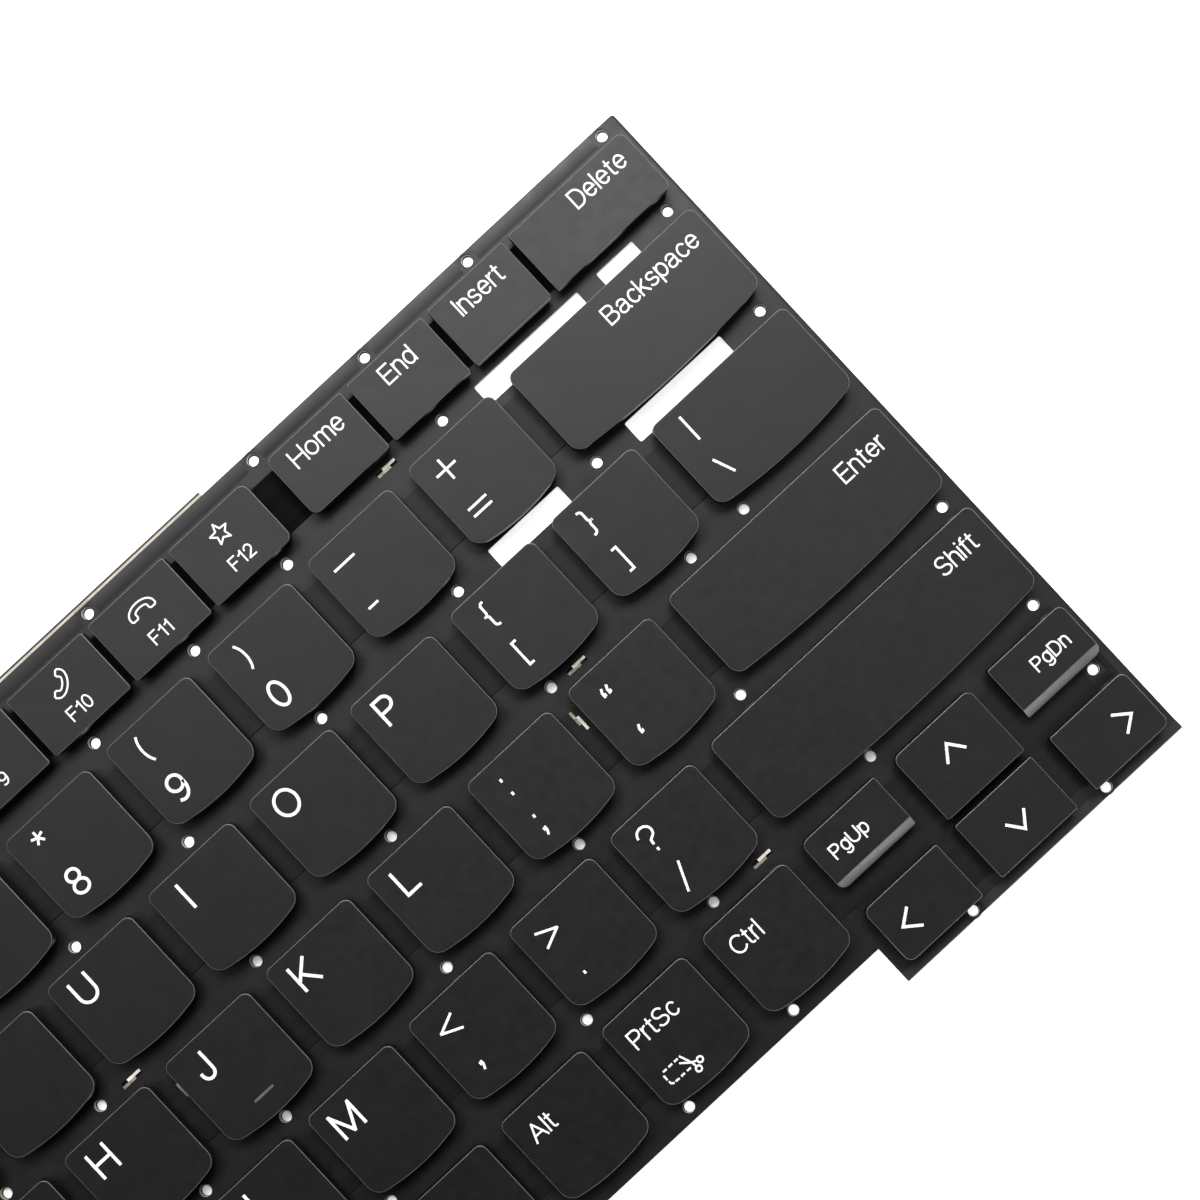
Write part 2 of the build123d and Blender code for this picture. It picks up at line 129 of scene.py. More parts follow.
def drifting(name, patch, colours, spot, low, high, **sockets):
    """A finish whose colour and roughness drift, each in patches of its own size."""
    finish = new_finish(name, **sockets)
    mottle(finish, patch, colours)
    gloss(finish, spot, low, high)
    return finish


def dress(piece, finish):
    """One finish all over a piece."""
    piece.data.materials.clear()
    piece.data.materials.append(finish)


film_black = drifting("film_black", 6, FILM_BLACKS, 3, 0.32, 0.45, Specular_IOR_Level=0.45)
grain(film_black, 0.5, 0.01, 0.5)
dress(nodes["back_film"], film_black)


# Light guide
# A milky sheet between the film and the plate that spreads the light of the key lighting.
# It is punched from clear plastic sheet, and its edge shows as a cream line past the plate.
GUIDE_CREAMS = (0.46, 0.41, 0.32), (0.58, 0.53, 0.43)

guide_cream = drifting("guide_cream", 4, GUIDE_CREAMS, 2, 0.22, 0.34, Specular_IOR_Level=0.5)
dress(nodes["light_guide"], guide_cream)


# Support plate
# Pressed sheet steel with a satin black coat, which carries everything. Screw holes, windows and
# slits are punched, the ribs and the lip are pressed, and the hooks of the bars are bent up.
PLATE_BLACKS = (0.0060, 0.0060, 0.0064), (0.0097, 0.0097, 0.0101)
BARE_STEELS = (0.30, 0.30, 0.29), (0.46, 0.45, 0.43)
FRONT_MARGIN, CURSOR_SIDE_MARGIN = 3.2, 1.9
HOLE_RADIUS, HOLE_SIDES = 0.9, 28
EDGE_HOLE, TOP_HOLE_INSET, FRONT_HOLE_INSET = 3.6, 1.2, 1.9
CURSOR_HOLE_INSET, PAGE_HOLE_INSET, GAP_HOLE_RISE = 1.15, 1.5, 0.25
TOP_HOLES = 3.2, 29.0, 48.8, 70.1, 101.7
FRONT_HOLES, CURSOR_HOLES = (67.0, 87.0), (13.5, 39.0)
GAP_HOLES = (
    (EDGE_HOLE, 46.8, 76.5, 94.3, 113.4),
    (EDGE_HOLE, 34.9, 61.5, 87.7, 113.2, 134.9),
    (24.2, 34.3, 61.1, 91.8, 117.6, 147.4, 165.5),
    (EDGE_HOLE, 42.3, 73.2, 98.6, 129.4, 144.7),
    (EDGE_HOLE, 34.8, 64.9, 89.2, 126.7),
)
WINDOW_CORNER = 0.3
UPPER_WINDOWS = (20.7, 19.7, 3.4), (10.2, 6.8, 3.4)
LOWER_WINDOWS = (41.2, 13.4, 3.2), (10.2, 18.2, 3.5)
WINDOW_RISE, WINDOW_GAP = 0.55, 0.1
SLIT_LENGTH, SLIT_WIDTH, SLIT_CORNER = 3.4, 0.8, 0.12
UPPER_SLIT, ROW_SLITS, LOWER_SLIT = 57.1, (56.4, 141.6), 55.8
UPRIGHT_SLITS = (61.4, 5.9), (137.1, 6.5)
PLATE_SHEET = 0.4
PLATE_CORNER = 0.5
EDGE_BREAK = 0.07
RIB_WIDTH, RIB_END_GAP, RIB_SINK = 2.2, 1.5, 0.05
TOP_RIB_HEIGHT, TOP_RIB_CREST = 0.10, 0.55
BLOCK_RIB_WIDTH, BLOCK_RIB_HEIGHT, BLOCK_RIB_CREST = 1.5, 0.18, 0.1
LIP_WIDTH, LIP_DROP = 0.5, 0.1
CUTTER_REACH = 2


def box_of(node):
    """Lowest and highest corner of a node of the frame, in millimetres."""
    return [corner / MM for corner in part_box(node)]


plate_low, plate_high = box_of("support_plate")
guide_high = box_of("light_guide")[1]
seven_low, seven_high = box_of("key_seven")
u_low, u_high = box_of("key_u")
left_arrow_low = box_of("key_left")[0]
page_low = box_of("key_page_down")[0]
f9_low, f9_high = box_of("key_f9")
space_low, space_high = box_of("key_space")
plate_base = guide_high.z
plate_face = plate_base + PLATE_SHEET
row_pitch = seven_high.y - u_high.y
row_gap = row_pitch - (seven_high.y - seven_low.y)
front_edge = space_low.y - FRONT_MARGIN
block_left = left_arrow_low.x - CURSOR_SIDE_MARGIN


def enter_edit():
    """Edit mode on the active piece."""
    bpy.ops.object.mode_set(mode="EDIT")


def leave_edit():
    """Object mode again, with the edit kept in the mesh."""
    bpy.ops.object.mode_set(mode="OBJECT")


def edit_all():
    """Edit mode with the whole piece selected."""
    enter_edit()
    bpy.ops.mesh.select_all(action="SELECT")


def all_faces():
    """Edit mode with every face selected."""
    enter_edit()
    bpy.ops.mesh.select_mode(type="FACE")
    bpy.ops.mesh.select_all(action="SELECT")


def turn_out():
    """In edit mode, turns every face outwards."""
    bpy.ops.mesh.select_all(action="SELECT")
    bpy.ops.mesh.normals_make_consistent(inside=False)


def deselect():
    """Nothing selected and no edit mode, before the next piece is started."""
    if bpy.context.object and bpy.context.object.mode == "EDIT":
        leave_edit()
    bpy.ops.object.select_all(action="DESELECT")


def only(piece):
    """One piece selected and active."""
    deselect()
    piece.select_set(True)
    bpy.context.view_layer.objects.active = piece


def pick(piece, mode, wanted):
    """In edit mode, selects the vertices, edges or faces of a piece that a test wants."""
    enter_edit()
    bpy.ops.mesh.select_mode(type=mode)
    bpy.ops.mesh.select_all(action="DESELECT")
    leave_edit()
    parts = {"VERT": piece.data.vertices, "EDGE": piece.data.edges, "FACE": piece.data.polygons}
    for part in parts[mode]:
        part.select = wanted(part)
    enter_edit()


def ends_of(piece, edge):
    """The two end points of an edge."""
    return [piece.data.vertices[index].co for index in edge.vertices]


def flat_plate(name, low, high, height):
    """A flat oblong at a height, as the start of a piece."""
    deselect()
    middle = ((low[0] + high[0]) / 2, (low[1] + high[1]) / 2, height)
    bpy.ops.mesh.primitive_plane_add(size=1, location=middle)
    piece = bpy.context.object
    piece.name = name
    piece.scale = (high[0] - low[0], high[1] - low[1], 1)
    bpy.ops.object.transform_apply(location=True, rotation=False, scale=True)
    return piece


def joined(pieces, name):
    """Several objects as one piece, each still a closed shell of its own."""
    deselect()
    for piece in pieces:
        piece.select_set(True)
    bpy.context.view_layer.objects.active = pieces[0]
    if len(pieces) > 1:
        bpy.ops.object.join()
    pieces[0].name = name
    return pieces[0]


def to_metres(piece):
    """A piece is modelled in millimetres, and gets its place in the frame when it is done."""
    only(piece)
    piece.scale = (MM, MM, MM)
    bpy.ops.object.transform_apply(location=True, rotation=False, scale=True)


def apply_modifier(piece, kind, **settings):
    """Adds a modifier with its settings and applies it to the mesh."""
    only(piece)
    modifier = piece.modifiers.new(kind.lower(), kind)
    for setting, value in settings.items():
        setattr(modifier, setting, value)
    bpy.ops.object.modifier_apply(modifier=modifier.name)


def smooth(piece, angle=35):
    """Smooth shading up to an angle in degrees."""
    only(piece)
    bpy.ops.object.shade_smooth_by_angle(angle=radians(angle))


def near(value, other):
    """True for two places that are the same to a hundredth of a millimetre."""
    return abs(value - other) < 0.01


def from_right(distances, y):
    """Places on a line along X, by their distances in millimetres from the right-hand edge."""
    return [(plate_high.x - distance, y) for distance in distances]


middle_lines = [(f9_low.y + seven_high.y) / 2]
middle_lines += [seven_high.y - row * row_pitch + row_gap / 2 for row in range(1, 5)]
gap_lines = [line + GAP_HOLE_RISE for line in middle_lines]
top_line = plate_high.y - TOP_HOLE_INSET
top_holes = from_right(TOP_HOLES, top_line)
block_holes = from_right(CURSOR_HOLES, plate_low.y + CURSOR_HOLE_INSET)
hole_places = top_holes + block_holes
for line, distances in zip(gap_lines, GAP_HOLES):
    hole_places += from_right(distances, line)
hole_places += [(plate_low.x + EDGE_HOLE, gap_lines[0]), (plate_low.x + EDGE_HOLE, gap_lines[4])]
hole_places += from_right(FRONT_HOLES, front_edge + FRONT_HOLE_INSET)
hole_places += from_right((EDGE_HOLE,), page_low.y - PAGE_HOLE_INSET)
upper_top = middle_lines[0] + WINDOW_RISE
lower_top = middle_lines[1] + row_gap / 2 - WINDOW_GAP
windows = [(distance, upper_top, width, height) for distance, width, height in UPPER_WINDOWS]
windows += [(distance, lower_top, width, height) for distance, width, height in LOWER_WINDOWS]
lying_slits = from_right((UPPER_SLIT,), upper_top)
lying_slits += from_right(ROW_SLITS, middle_lines[2])
lying_slits += from_right((LOWER_SLIT,), middle_lines[4])
upright_slits = []
for distance, drop in UPRIGHT_SLITS:
    upright_slits += from_right((distance,), middle_lines[2] - drop)


def raise_up(amount):
    """Pulls the selected faces up into a solid."""
    bpy.ops.mesh.extrude_region_move(TRANSFORM_OT_translate={"value": (0, 0, amount)})


def punch(low, high, corner):
    """A block that cuts an opening through the plate, with rounded upright corners."""
    block = flat_plate("punch", low, high, plate_base - CUTTER_REACH)
    pick(block, "VERT", lambda vertex: True)
    bpy.ops.mesh.bevel(offset=corner, segments=3, affect="VERTICES")
    all_faces()
    raise_up(2 * CUTTER_REACH + PLATE_SHEET)
    turn_out()
    leave_edit()
    return block


plate = flat_plate("plate_sheet", (plate_low.x, front_edge), plate_high, plate_base)
edit_all()
bpy.ops.mesh.bisect(plane_co=(block_left, 0, 0), plane_no=(1, 0, 0))
pick(plate, "EDGE", lambda edge: all(
    near(end.y, front_edge) and end.x > block_left - 0.01 for end in ends_of(plate, edge)))
bpy.ops.mesh.extrude_region_move(
    TRANSFORM_OT_translate={"value": (0, plate_low.y - front_edge, 0)})
pick(plate, "VERT", lambda vertex: near(vertex.co.x, plate_high.x)
     and (near(vertex.co.y, plate_high.y) or near(vertex.co.y, plate_low.y)))
bpy.ops.mesh.bevel(offset=PLATE_CORNER, segments=4, affect="VERTICES")
all_faces()
raise_up(PLATE_SHEET)
turn_out()
bpy.ops.mesh.bisect(plane_co=(plate_high.x - LIP_WIDTH, 0, 0), plane_no=(1, 0, 0))
leave_edit()
lip_stations = sorted({round(vertex.co.x, 3) for vertex in plate.data.vertices
                       if vertex.co.x > plate_high.x - LIP_WIDTH + 0.01})
for x in lip_stations:
    pick(plate, "VERT", lambda vertex: near(vertex.co.x, x) and near(vertex.co.z, plate_face))
    share = 1 - (plate_high.x - x) / LIP_WIDTH
    bpy.ops.transform.translate(value=(0, 0, -LIP_DROP * share))
leave_edit()

cutters = []
for x, y in hole_places:
    deselect()
    bpy.ops.mesh.primitive_cylinder_add(
        vertices=HOLE_SIDES, radius=HOLE_RADIUS, depth=2 * CUTTER_REACH,
        location=(x, y, plate_face))
    cutters.append(bpy.context.object)
for distance, top, width, height in windows:
    right = plate_high.x - distance
    cutters.append(punch((right - width, top - height), (right, top), WINDOW_CORNER))
for places, width, height in ((lying_slits, SLIT_LENGTH, SLIT_WIDTH),
                              (upright_slits, SLIT_WIDTH, SLIT_LENGTH)):
    for x, y in places:
        cutters.append(punch((x - width / 2, y - height / 2), (x + width / 2, y + height / 2),
                             SLIT_CORNER))
cutter = joined(cutters, "cutter")
apply_modifier(plate, "BOOLEAN", object=cutter, operation="DIFFERENCE", solver="EXACT")
bpy.data.objects.remove(cutter)
apply_modifier(plate, "BEVEL", width=EDGE_BREAK, segments=1, limit_method="ANGLE",
               angle_limit=radians(60))


def rib(low, high, crest, height):
    """A pressed ridge on the plate, which rises to a crest at a share of its width."""
    bar = flat_plate("rib", low, high, plate_face - RIB_SINK)
    edit_all()
    raise_up(RIB_SINK)
    turn_out()
    line = low[1] + (high[1] - low[1]) * crest
    bpy.ops.mesh.bisect(plane_co=(0, line, 0), plane_no=(0, 1, 0))
    pick(bar, "VERT", lambda vertex: near(vertex.co.y, line) and near(vertex.co.z, plate_face))
    bpy.ops.transform.translate(value=(0, 0, height))
    leave_edit()
    return bar


sheet_parts = [plate]
rib_ends = [plate_low.x] + sorted(x for x, y in top_holes)
for start, end in zip(rib_ends, rib_ends[1:]):
    sheet_parts.append(rib((start + RIB_END_GAP, plate_high.y - RIB_WIDTH),
                           (end - RIB_END_GAP, plate_high.y), TOP_RIB_CREST, TOP_RIB_HEIGHT))
rib_ends = [block_left - RIB_END_GAP, *sorted(x for x, y in block_holes),
            plate_high.x + RIB_END_GAP]
for start, end in zip(rib_ends, rib_ends[1:]):
    sheet_parts.append(rib((start + RIB_END_GAP, plate_low.y),
                           (end - RIB_END_GAP, plate_low.y + BLOCK_RIB_WIDTH),
                           BLOCK_RIB_CREST, BLOCK_RIB_HEIGHT))

HOOK_SHEET, HOOK_WIDTH, HOOK_GAP = 0.35, 1.6, 0.1
BAR_END_MARGIN, BAR_SIZE = 4.0, 0.8
LONG_KEYS = "backspace", "enter", "right_shift", "space"


def hook(centre, bar_low, bar_front):
    """A tongue bent up out of the plate and over a stabilizer bar."""
    back = bar_front + BAR_SIZE + HOOK_GAP
    roof = bar_low + BAR_SIZE + HOOK_GAP
    half = HOOK_WIDTH / 2
    tongue = flat_plate("hook", (centre - half, back), (centre + half, back + HOOK_SHEET),
                        plate_face - RIB_SINK)
    edit_all()
    raise_up(roof - plate_face + RIB_SINK)
    raise_up(HOOK_SHEET)
    turn_out()
    pick(tongue, "FACE", lambda face: face.normal.y < -0.9 and face.center.z > roof)
    bpy.ops.mesh.extrude_region_move(
        TRANSFORM_OT_translate={"value": (0, bar_front - back, 0)})
    leave_edit()
    return tongue


for name in LONG_KEYS:
    key_low, key_high = box_of("key_" + name)
    bar_low = box_of("stabilizer_" + name)[0]
    reach = (key_high.x - key_low.x) / 2 - BAR_END_MARGIN
    for side in (-1, 1):
        leg = (key_low.x + key_high.x) / 2 + side * reach
        centre = leg - side * (BAR_SIZE / 2 + HOOK_GAP + HOOK_WIDTH / 2)
        sheet_parts.append(hook(centre, bar_low.z, bar_low.y))

plate = joined(sheet_parts, "plate_sheet")
plate_black = drifting("plate_black", 9, PLATE_BLACKS, 2.5, 0.36, 0.44, Specular_IOR_Level=0.28)
grain(plate_black, 0.35, 0.012, 0.4)
bare_steel = drifting("bare_steel", 2, BARE_STEELS, 1, 0.35, 0.5, Metallic=0.8)
dress(plate, plate_black)
plate.data.materials.append(bare_steel)
pick(plate, "FACE", lambda face: abs(face.normal.z) < 0.3 and face.center.z < plate_face
     and face.center.z > plate_base)
plate.active_material_index = 1
bpy.ops.object.material_slot_assign()
smooth(plate)
to_metres(plate)
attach(plate, "base")
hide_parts("support_plate")


# Hole rings
# Behind each screw hole the two sheets reach in a little: a white ring of the light guide and a
# black ring of the back film, both punched narrower than the plate and set towards the front.
RING_OUTSIDE = 1.36
GUIDE_RING, FILM_RING = (0.86, 0.12), (0.76, 0.20)

film_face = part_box("back_film")[1].z / MM


def sheet_ring(inside, shift, low, high):
    """A flat ring about the origin, with its hole set off to the front."""
    deselect()
    bpy.ops.mesh.primitive_circle_add(vertices=HOLE_SIDES, radius=RING_OUTSIDE, fill_type="NGON",
                                      location=(0, 0, low))
    ring = bpy.context.object
    bpy.ops.object.transform_apply(location=True)
    all_faces()
    bpy.ops.mesh.inset(thickness=RING_OUTSIDE - inside)
    bpy.ops.transform.translate(value=(0, -shift, 0))
    bpy.ops.mesh.delete(type="FACE")
    bpy.ops.mesh.select_all(action="SELECT")
    raise_up(high - low)
    turn_out()
    leave_edit()
    return ring


def copy_to(model, name, x, y):
    """A copy of a model with its own mesh, moved to a place."""
    piece = bpy.data.objects.new(name, model.data.copy())
    bpy.context.scene.collection.objects.link(piece)
    only(piece)
    piece.location = (x, y, 0)
    bpy.ops.object.transform_apply(location=True, rotation=False, scale=False)
    return piece


for title, finish, ring, low, high in (
        ("guide", guide_cream, GUIDE_RING, film_face, plate_base),
        ("film", film_black, FILM_RING, cad_box[0].z / MM, film_face)):
    model = sheet_ring(*ring, low, high)
    model.data.materials.append(finish)
    rings = joined([copy_to(model, "ring", x, y) for x, y in hole_places], title + "_rings")
    bpy.data.objects.remove(model)
    to_metres(rings)
    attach(rings, "base")


# Lanced tongues
# Small tongues of bare sheet metal that show in the slits of the plate, uncoated where they were
# lanced. Each is two strips side by side and out of step, of the same bare metal: one painted dark
# as shade and one painted light as a highlight.
PAINTED_SHADE_METALS = (0.20, 0.17, 0.13), (0.42, 0.37, 0.29)
PAINTED_HIGHLIGHT_METALS = (0.72, 0.67, 0.57), (0.95, 0.93, 0.88)
TONGUE_LENGTH, TONGUE_WIDTH, TONGUE_STEP = 2.3, 0.42, 0.5
TONGUE_SHEET = 0.12

membrane_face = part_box("switch_membrane")[1].z / MM
# Painted shade and painted highlight: the same bare metal in a dark and a light copy.
painted_shade_metal = drifting("painted_shade_metal", 0.5, PAINTED_SHADE_METALS, 0.6, 0.3, 0.45,
                      Specular_IOR_Level=0.5, Metallic=0.3)
bright_metal = drifting("bright_metal", 0.9, PAINTED_HIGHLIGHT_METALS, 0.6, 0.3, 0.45,
                        Specular_IOR_Level=0.5, Metallic=0.1)


def lanced_strip(side, finish):
    """One strip of a tongue about the origin, with a bend across its middle."""
    middle = side * (SLIT_LENGTH - TONGUE_LENGTH) / 2
    line = side * TONGUE_WIDTH / 2
    strip = flat_plate("strip", (middle - TONGUE_LENGTH / 2, line - TONGUE_WIDTH / 2),
                       (middle + TONGUE_LENGTH / 2, line + TONGUE_WIDTH / 2), -TONGUE_SHEET)
    edit_all()
    bpy.ops.mesh.bisect(plane_co=(middle, 0, 0), plane_no=(1, 0, 0))
    all_faces()
    raise_up(TONGUE_SHEET)
    turn_out()
    pick(strip, "VERT", lambda vertex: near(vertex.co.x, middle))
    bpy.ops.transform.translate(value=(0, 0, -side * TONGUE_SHEET * TONGUE_STEP))
    leave_edit()
    strip.data.materials.append(finish)
    return strip


tongue = joined([lanced_strip(-1, painted_shade_metal), lanced_strip(1, bright_metal)], "tongue")
tongues = []
for slit_places, turn, height in ((lying_slits, 0, plate_face), (upright_slits, 90, membrane_face)):
    for x, y in slit_places:
        piece = copy_to(tongue, "tongue", 0, 0)
        edit_all()
        bpy.ops.transform.rotate(value=radians(turn), orient_axis="Z", center_override=(0, 0, 0))
        bpy.ops.transform.translate(value=(x, y, height + TONGUE_SHEET / 2))
        leave_edit()
        tongues.append(piece)
bpy.data.objects.remove(tongue)
tongues = joined(tongues, "lanced_tongues")
to_metres(tongues)
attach(tongues, "base")


# Switch membrane
# A dark printed film stack in strips under the key rows, with faint conductor tracks. It is
# glued to the face of the plate. Its shine fades to none over the function row, a painted shade
# for the deep gaps between the function keys.
MEMBRANE_COLOURS = (0.0045, 0.0045, 0.0045), (0.0075, 0.0075, 0.0075)
MEMBRANE_SHINE = 0.2

membrane_ink = new_finish("membrane_ink")
mottle(membrane_ink, 1.6, MEMBRANE_COLOURS, stretch=(0.1, 1, 1))
gloss(membrane_ink, 2, 0.38, 0.46)
tree = membrane_ink.node_tree
place = tree.nodes.new("ShaderNodeTexCoord")
split = tree.nodes.new("ShaderNodeSeparateXYZ")
# Painted shade: the shine drops to none over the function row, so its key gaps read dark.
far = tree.nodes.new("ShaderNodeMapRange")
far.inputs["From Min"].default_value = middle_lines[0] * MM
far.inputs["From Max"].default_value = f9_low.y * MM
far.inputs["To Min"].default_value = MEMBRANE_SHINE
far.inputs["To Max"].default_value = 0
tree.links.new(place.outputs["Object"], split.inputs["Vector"])
tree.links.new(split.outputs["Y"], far.inputs["Value"])
tree.links.new(far.outputs["Result"], tree.nodes["Principled BSDF"].inputs["Specular IOR Level"])
dress(nodes["switch_membrane"], membrane_ink)


# Key places
# Every moving cap has its box in the frame. The caps to the left of them follow in whole steps
# of the same key pitch, from the first moving key of their row.
GROUP_GAP, IN_GROUP_GAP = 4.1, 1.05
SIDE_MARGIN = 1.35
LEAST_LETTER_DEPTH = 14
LEFT_ROWS = {
    "seven": "six five four three two one grave",
    "y": "t r e w q tab:1.5",
    "h": "g f d s a caps:1.75",
    "n": "b v c x z left_shift:2.25",
    "space": "left_alt system left_ctrl:1.25 fn",
}
LEFT_FUNCTIONS = "f8 f7 f6 f5", "f4 f3 f2 f1", "escape"

key_pitch = box_of("key_eight")[0].x - seven_low.x
key_gap = box_of("key_eight")[0].x - seven_high.x
places = {}
for node in nodes:
    if node.startswith("key_"):
        places[node[4:]] = box_of(node)
moving_keys = list(places)
for first, row in LEFT_ROWS.items():
    low, high = box_of("key_" + first)
    edge = low.x
    for entry in row.split():
        name, _, units = entry.partition(":")
        width = float(units or 1) * key_pitch - key_gap
        right = edge - key_gap
        edge = right - width
        places[name] = (Vector((edge, low.y, low.z)), Vector((right, high.y, high.z)))
edge = f9_low.x
function_width = f9_high.x - f9_low.x
for group in LEFT_FUNCTIONS:
    edge -= GROUP_GAP
    for name in group.split():
        width = function_width
        if name == "escape":
            width = edge - plate_low.x - SIDE_MARGIN
        places[name] = (Vector((edge - width, f9_low.y, f9_low.z)),
                        Vector((edge, f9_high.y, f9_high.z)))
        edge -= width + IN_GROUP_GAP
    edge += IN_GROUP_GAP
letter_keys = [name for name, (low, high) in places.items()
               if high.y - low.y > LEAST_LETTER_DEPTH]
function_keys = [name for name, (low, high) in places.items() if near(high.y, f9_high.y)]


# Rubber domes
# A bell of grey silicone under each key, glued to the membrane by its foot. It is moulded in one
# piece and buckles when the key goes down.
SILICONE_GREYS = (0.20, 0.21, 0.21), (0.28, 0.29, 0.29)
DOME_SIDES = 16
DOME_FOOT = 1.8
DOME_RINGS = ((1.8, 0.18), (1.42, 0.34), (1.30, 1.6), (1.05, 2.2), (1.05, 2.8))
WALL, SMILE, CAP_SHELL = 0.9, 1.0, 0.8
SEAT_GAP = 0.04

ceiling = seven_high.z - CAP_SHELL
silicone = drifting("silicone", 1.5, SILICONE_GREYS, 0.8, 0.45, 0.6,
                    Specular_IOR_Level=0.4, Subsurface_Weight=0.15, Subsurface_Scale=1)


def key_middle(name):
    """The middle of a key's inside, where its dome and links stand."""
    low, high = places[name]
    front = low.y + (SMILE if name in letter_keys else 0)
    return (low.x + high.x) / 2, (high.y + front) / 2


def rubber_dome():
    """The dome on the origin of the membrane, built up ring by ring from its foot."""
    deselect()
    bpy.ops.mesh.primitive_circle_add(vertices=DOME_SIDES, radius=DOME_FOOT, fill_type="NGON",
                                      location=(0, 0, membrane_face))
    dome = bpy.context.object
    bpy.ops.object.transform_apply(location=True)
    all_faces()
    last_radius, last_height = DOME_FOOT, 0
    for radius, height in DOME_RINGS:
        raise_up(height - last_height)
        share = radius / last_radius
        bpy.ops.transform.resize(value=(share, share, 1))
        last_radius, last_height = radius, height
    turn_out()
    leave_edit()
    dome.data.materials.append(silicone)
    smooth(dome, 50)
    return dome


def under_keys(make, title, slot, *replaced):
    """One piece under each moving key, and one for the left-hand keys."""
    models, held = {}, []
    for name, (low, high) in places.items():
        depth = round(high.y - low.y, 2)
        if depth not in models:
            models[depth] = make(name)
        piece = copy_to(models[depth], title + "_" + name, *key_middle(name))
        if name not in moving_keys:
            held.append(piece)
            continue
        to_metres(piece)
        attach(piece, "base")
        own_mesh(piece)
        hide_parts(*replaced)
    for model in models.values():
        bpy.data.objects.remove(model)
    left = joined(held, "left_" + title + "s")
    to_metres(left)
    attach(left, "base")


under_keys(lambda name: rubber_dome(), "dome", "silicone", "rubber_domes")


# Scissor links
# Two moulded frames that cross under each key and guide it down level. The outer one climbs to
# the back and the inner one to the front, in hooks that are hidden under the cap.
LINK_BLACKS = (0.022, 0.022, 0.023), (0.034, 0.034, 0.035)
LINK_WIDTH, LINK_BAR, LINK_SHEET = 9.6, 0.7, 0.6
LINK_SIDE_GAP, LINK_END_GAP, BAR_SPACE = 0.25, 0.6, 1.9
LINK_CORNER = 0.35

link_black = drifting("link_black", 1.5, LINK_BLACKS, 1, 0.3, 0.42, Specular_IOR_Level=0.5)


def link_frame(name, width, climb):
    """An oblong frame with rounded corners, tilted from the membrane up to the cap."""
    low, high = places[name]
    front = low.y + (SMILE if name in letter_keys else 0)
    length = high.y - front - 2 * WALL - 2 * (BAR_SPACE if name in letter_keys else LINK_END_GAP)
    tilt = asin((ceiling - membrane_face - 2 * SEAT_GAP - LINK_SHEET) / length)
    middle = (membrane_face + ceiling) / 2
    half_x, half_y = width / 2, length / 2
    link = flat_plate("link", (-half_x, -half_y), (half_x, half_y), middle - LINK_SHEET / 2)
    pick(link, "VERT", lambda vertex: True)
    bpy.ops.mesh.bevel(offset=LINK_CORNER, segments=2, affect="VERTICES")
    all_faces()
    bpy.ops.mesh.inset(thickness=LINK_BAR)
    bpy.ops.mesh.delete(type="FACE")
    bpy.ops.mesh.select_all(action="SELECT")
    raise_up(LINK_SHEET)
    turn_out()
    leave_edit()
    link.data.transform(Matrix.Translation((0, 0, middle)) @ Matrix.Rotation(climb * tilt, 4, "X")
                        @ Matrix.Translation((0, 0, -middle)))
    link.data.materials.append(link_black)
    smooth(link)
    return link


inner_width = LINK_WIDTH - 2 * LINK_BAR - 2 * LINK_SIDE_GAP
under_keys(lambda name: link_frame(name, LINK_WIDTH, 1), "outer_link", "link", "outer_links")
under_keys(lambda name: link_frame(name, inner_width, -1), "inner_link", "link", "inner_links")


# Stabilizer bars
# Bent spring wire under the long keys, held in the hooks of the plate, so that a key pressed at
# one end goes down level.
WIRE_GREYS = (0.42, 0.42, 0.43), (0.58, 0.58, 0.59)

wire_steel = drifting("wire_steel", 1.5, WIRE_GREYS, 0.8, 0.25, 0.4, Metallic=1.0)
for name in LONG_KEYS:
    dress(nodes["stabilizer_" + name], wire_steel)


# Keycaps
# Thin moulded shells of black plastic with a fine matte texture. The letter caps swell forward
# in an arc, the short ones are oblong, and every top is slightly dished with a broken edge. The
# broken edges and the homing bars are painted a lighter grey as a painted highlight.
CAP_BLACKS = (0.0039, 0.0039, 0.0040), (0.0057, 0.0057, 0.0059)
# Painted highlight: the broken edges of the caps are a lighter grey, standing in for the light they
# catch.
EDGE_PAINTED_HIGHLIGHT_GREYS = (0.090, 0.090, 0.090), (0.130, 0.130, 0.130)
# Painted reflection: the sloped fronts of the page keys are a lighter grey, standing in for the
# light they mirror from the front.
SLOPE_PAINTED_REFLECTION_GREYS = (0.125, 0.125, 0.125), (0.145, 0.145, 0.145)
CAP_DRAFT = 0.05
BACK_CORNER, FRONT_CORNER, TIGHT_CORNER = 1.25, 1.7, 0.42
EDGE_ROUND = 0.09
DISH = ((0.08, 0), (0.6, 0.002), (1.6, 0.006), (3.0, 0.010), (4.2, 0.006))
DISH_ROOM = 12
ARC_STEP = 2.6
LEAST_COLUMNS = 7
SLOPE_RUN, SLOPE_DROP = 1.4, 1.1

cap_plastic = drifting("cap_plastic", 5, CAP_BLACKS, 1.5, 0.39, 0.45, Specular_IOR_Level=0.30)
grain(cap_plastic, 0.12, 0.006, 0.4)
# The edge finish is a painted highlight, much lighter than the cap plastic.
cap_edge_painted_highlight = drifting("cap_edge_painted_highlight", 3, EDGE_PAINTED_HIGHLIGHT_GREYS, 1, 0.34, 0.46, Specular_IOR_Level=0.5)
# The slope finish is a painted reflection on the same black cap plastic.
cap_slope_painted_reflection = drifting("cap_slope_painted_reflection", 3, SLOPE_PAINTED_REFLECTION_GREYS, 1, 0.4, 0.5, Specular_IOR_Level=0.4)


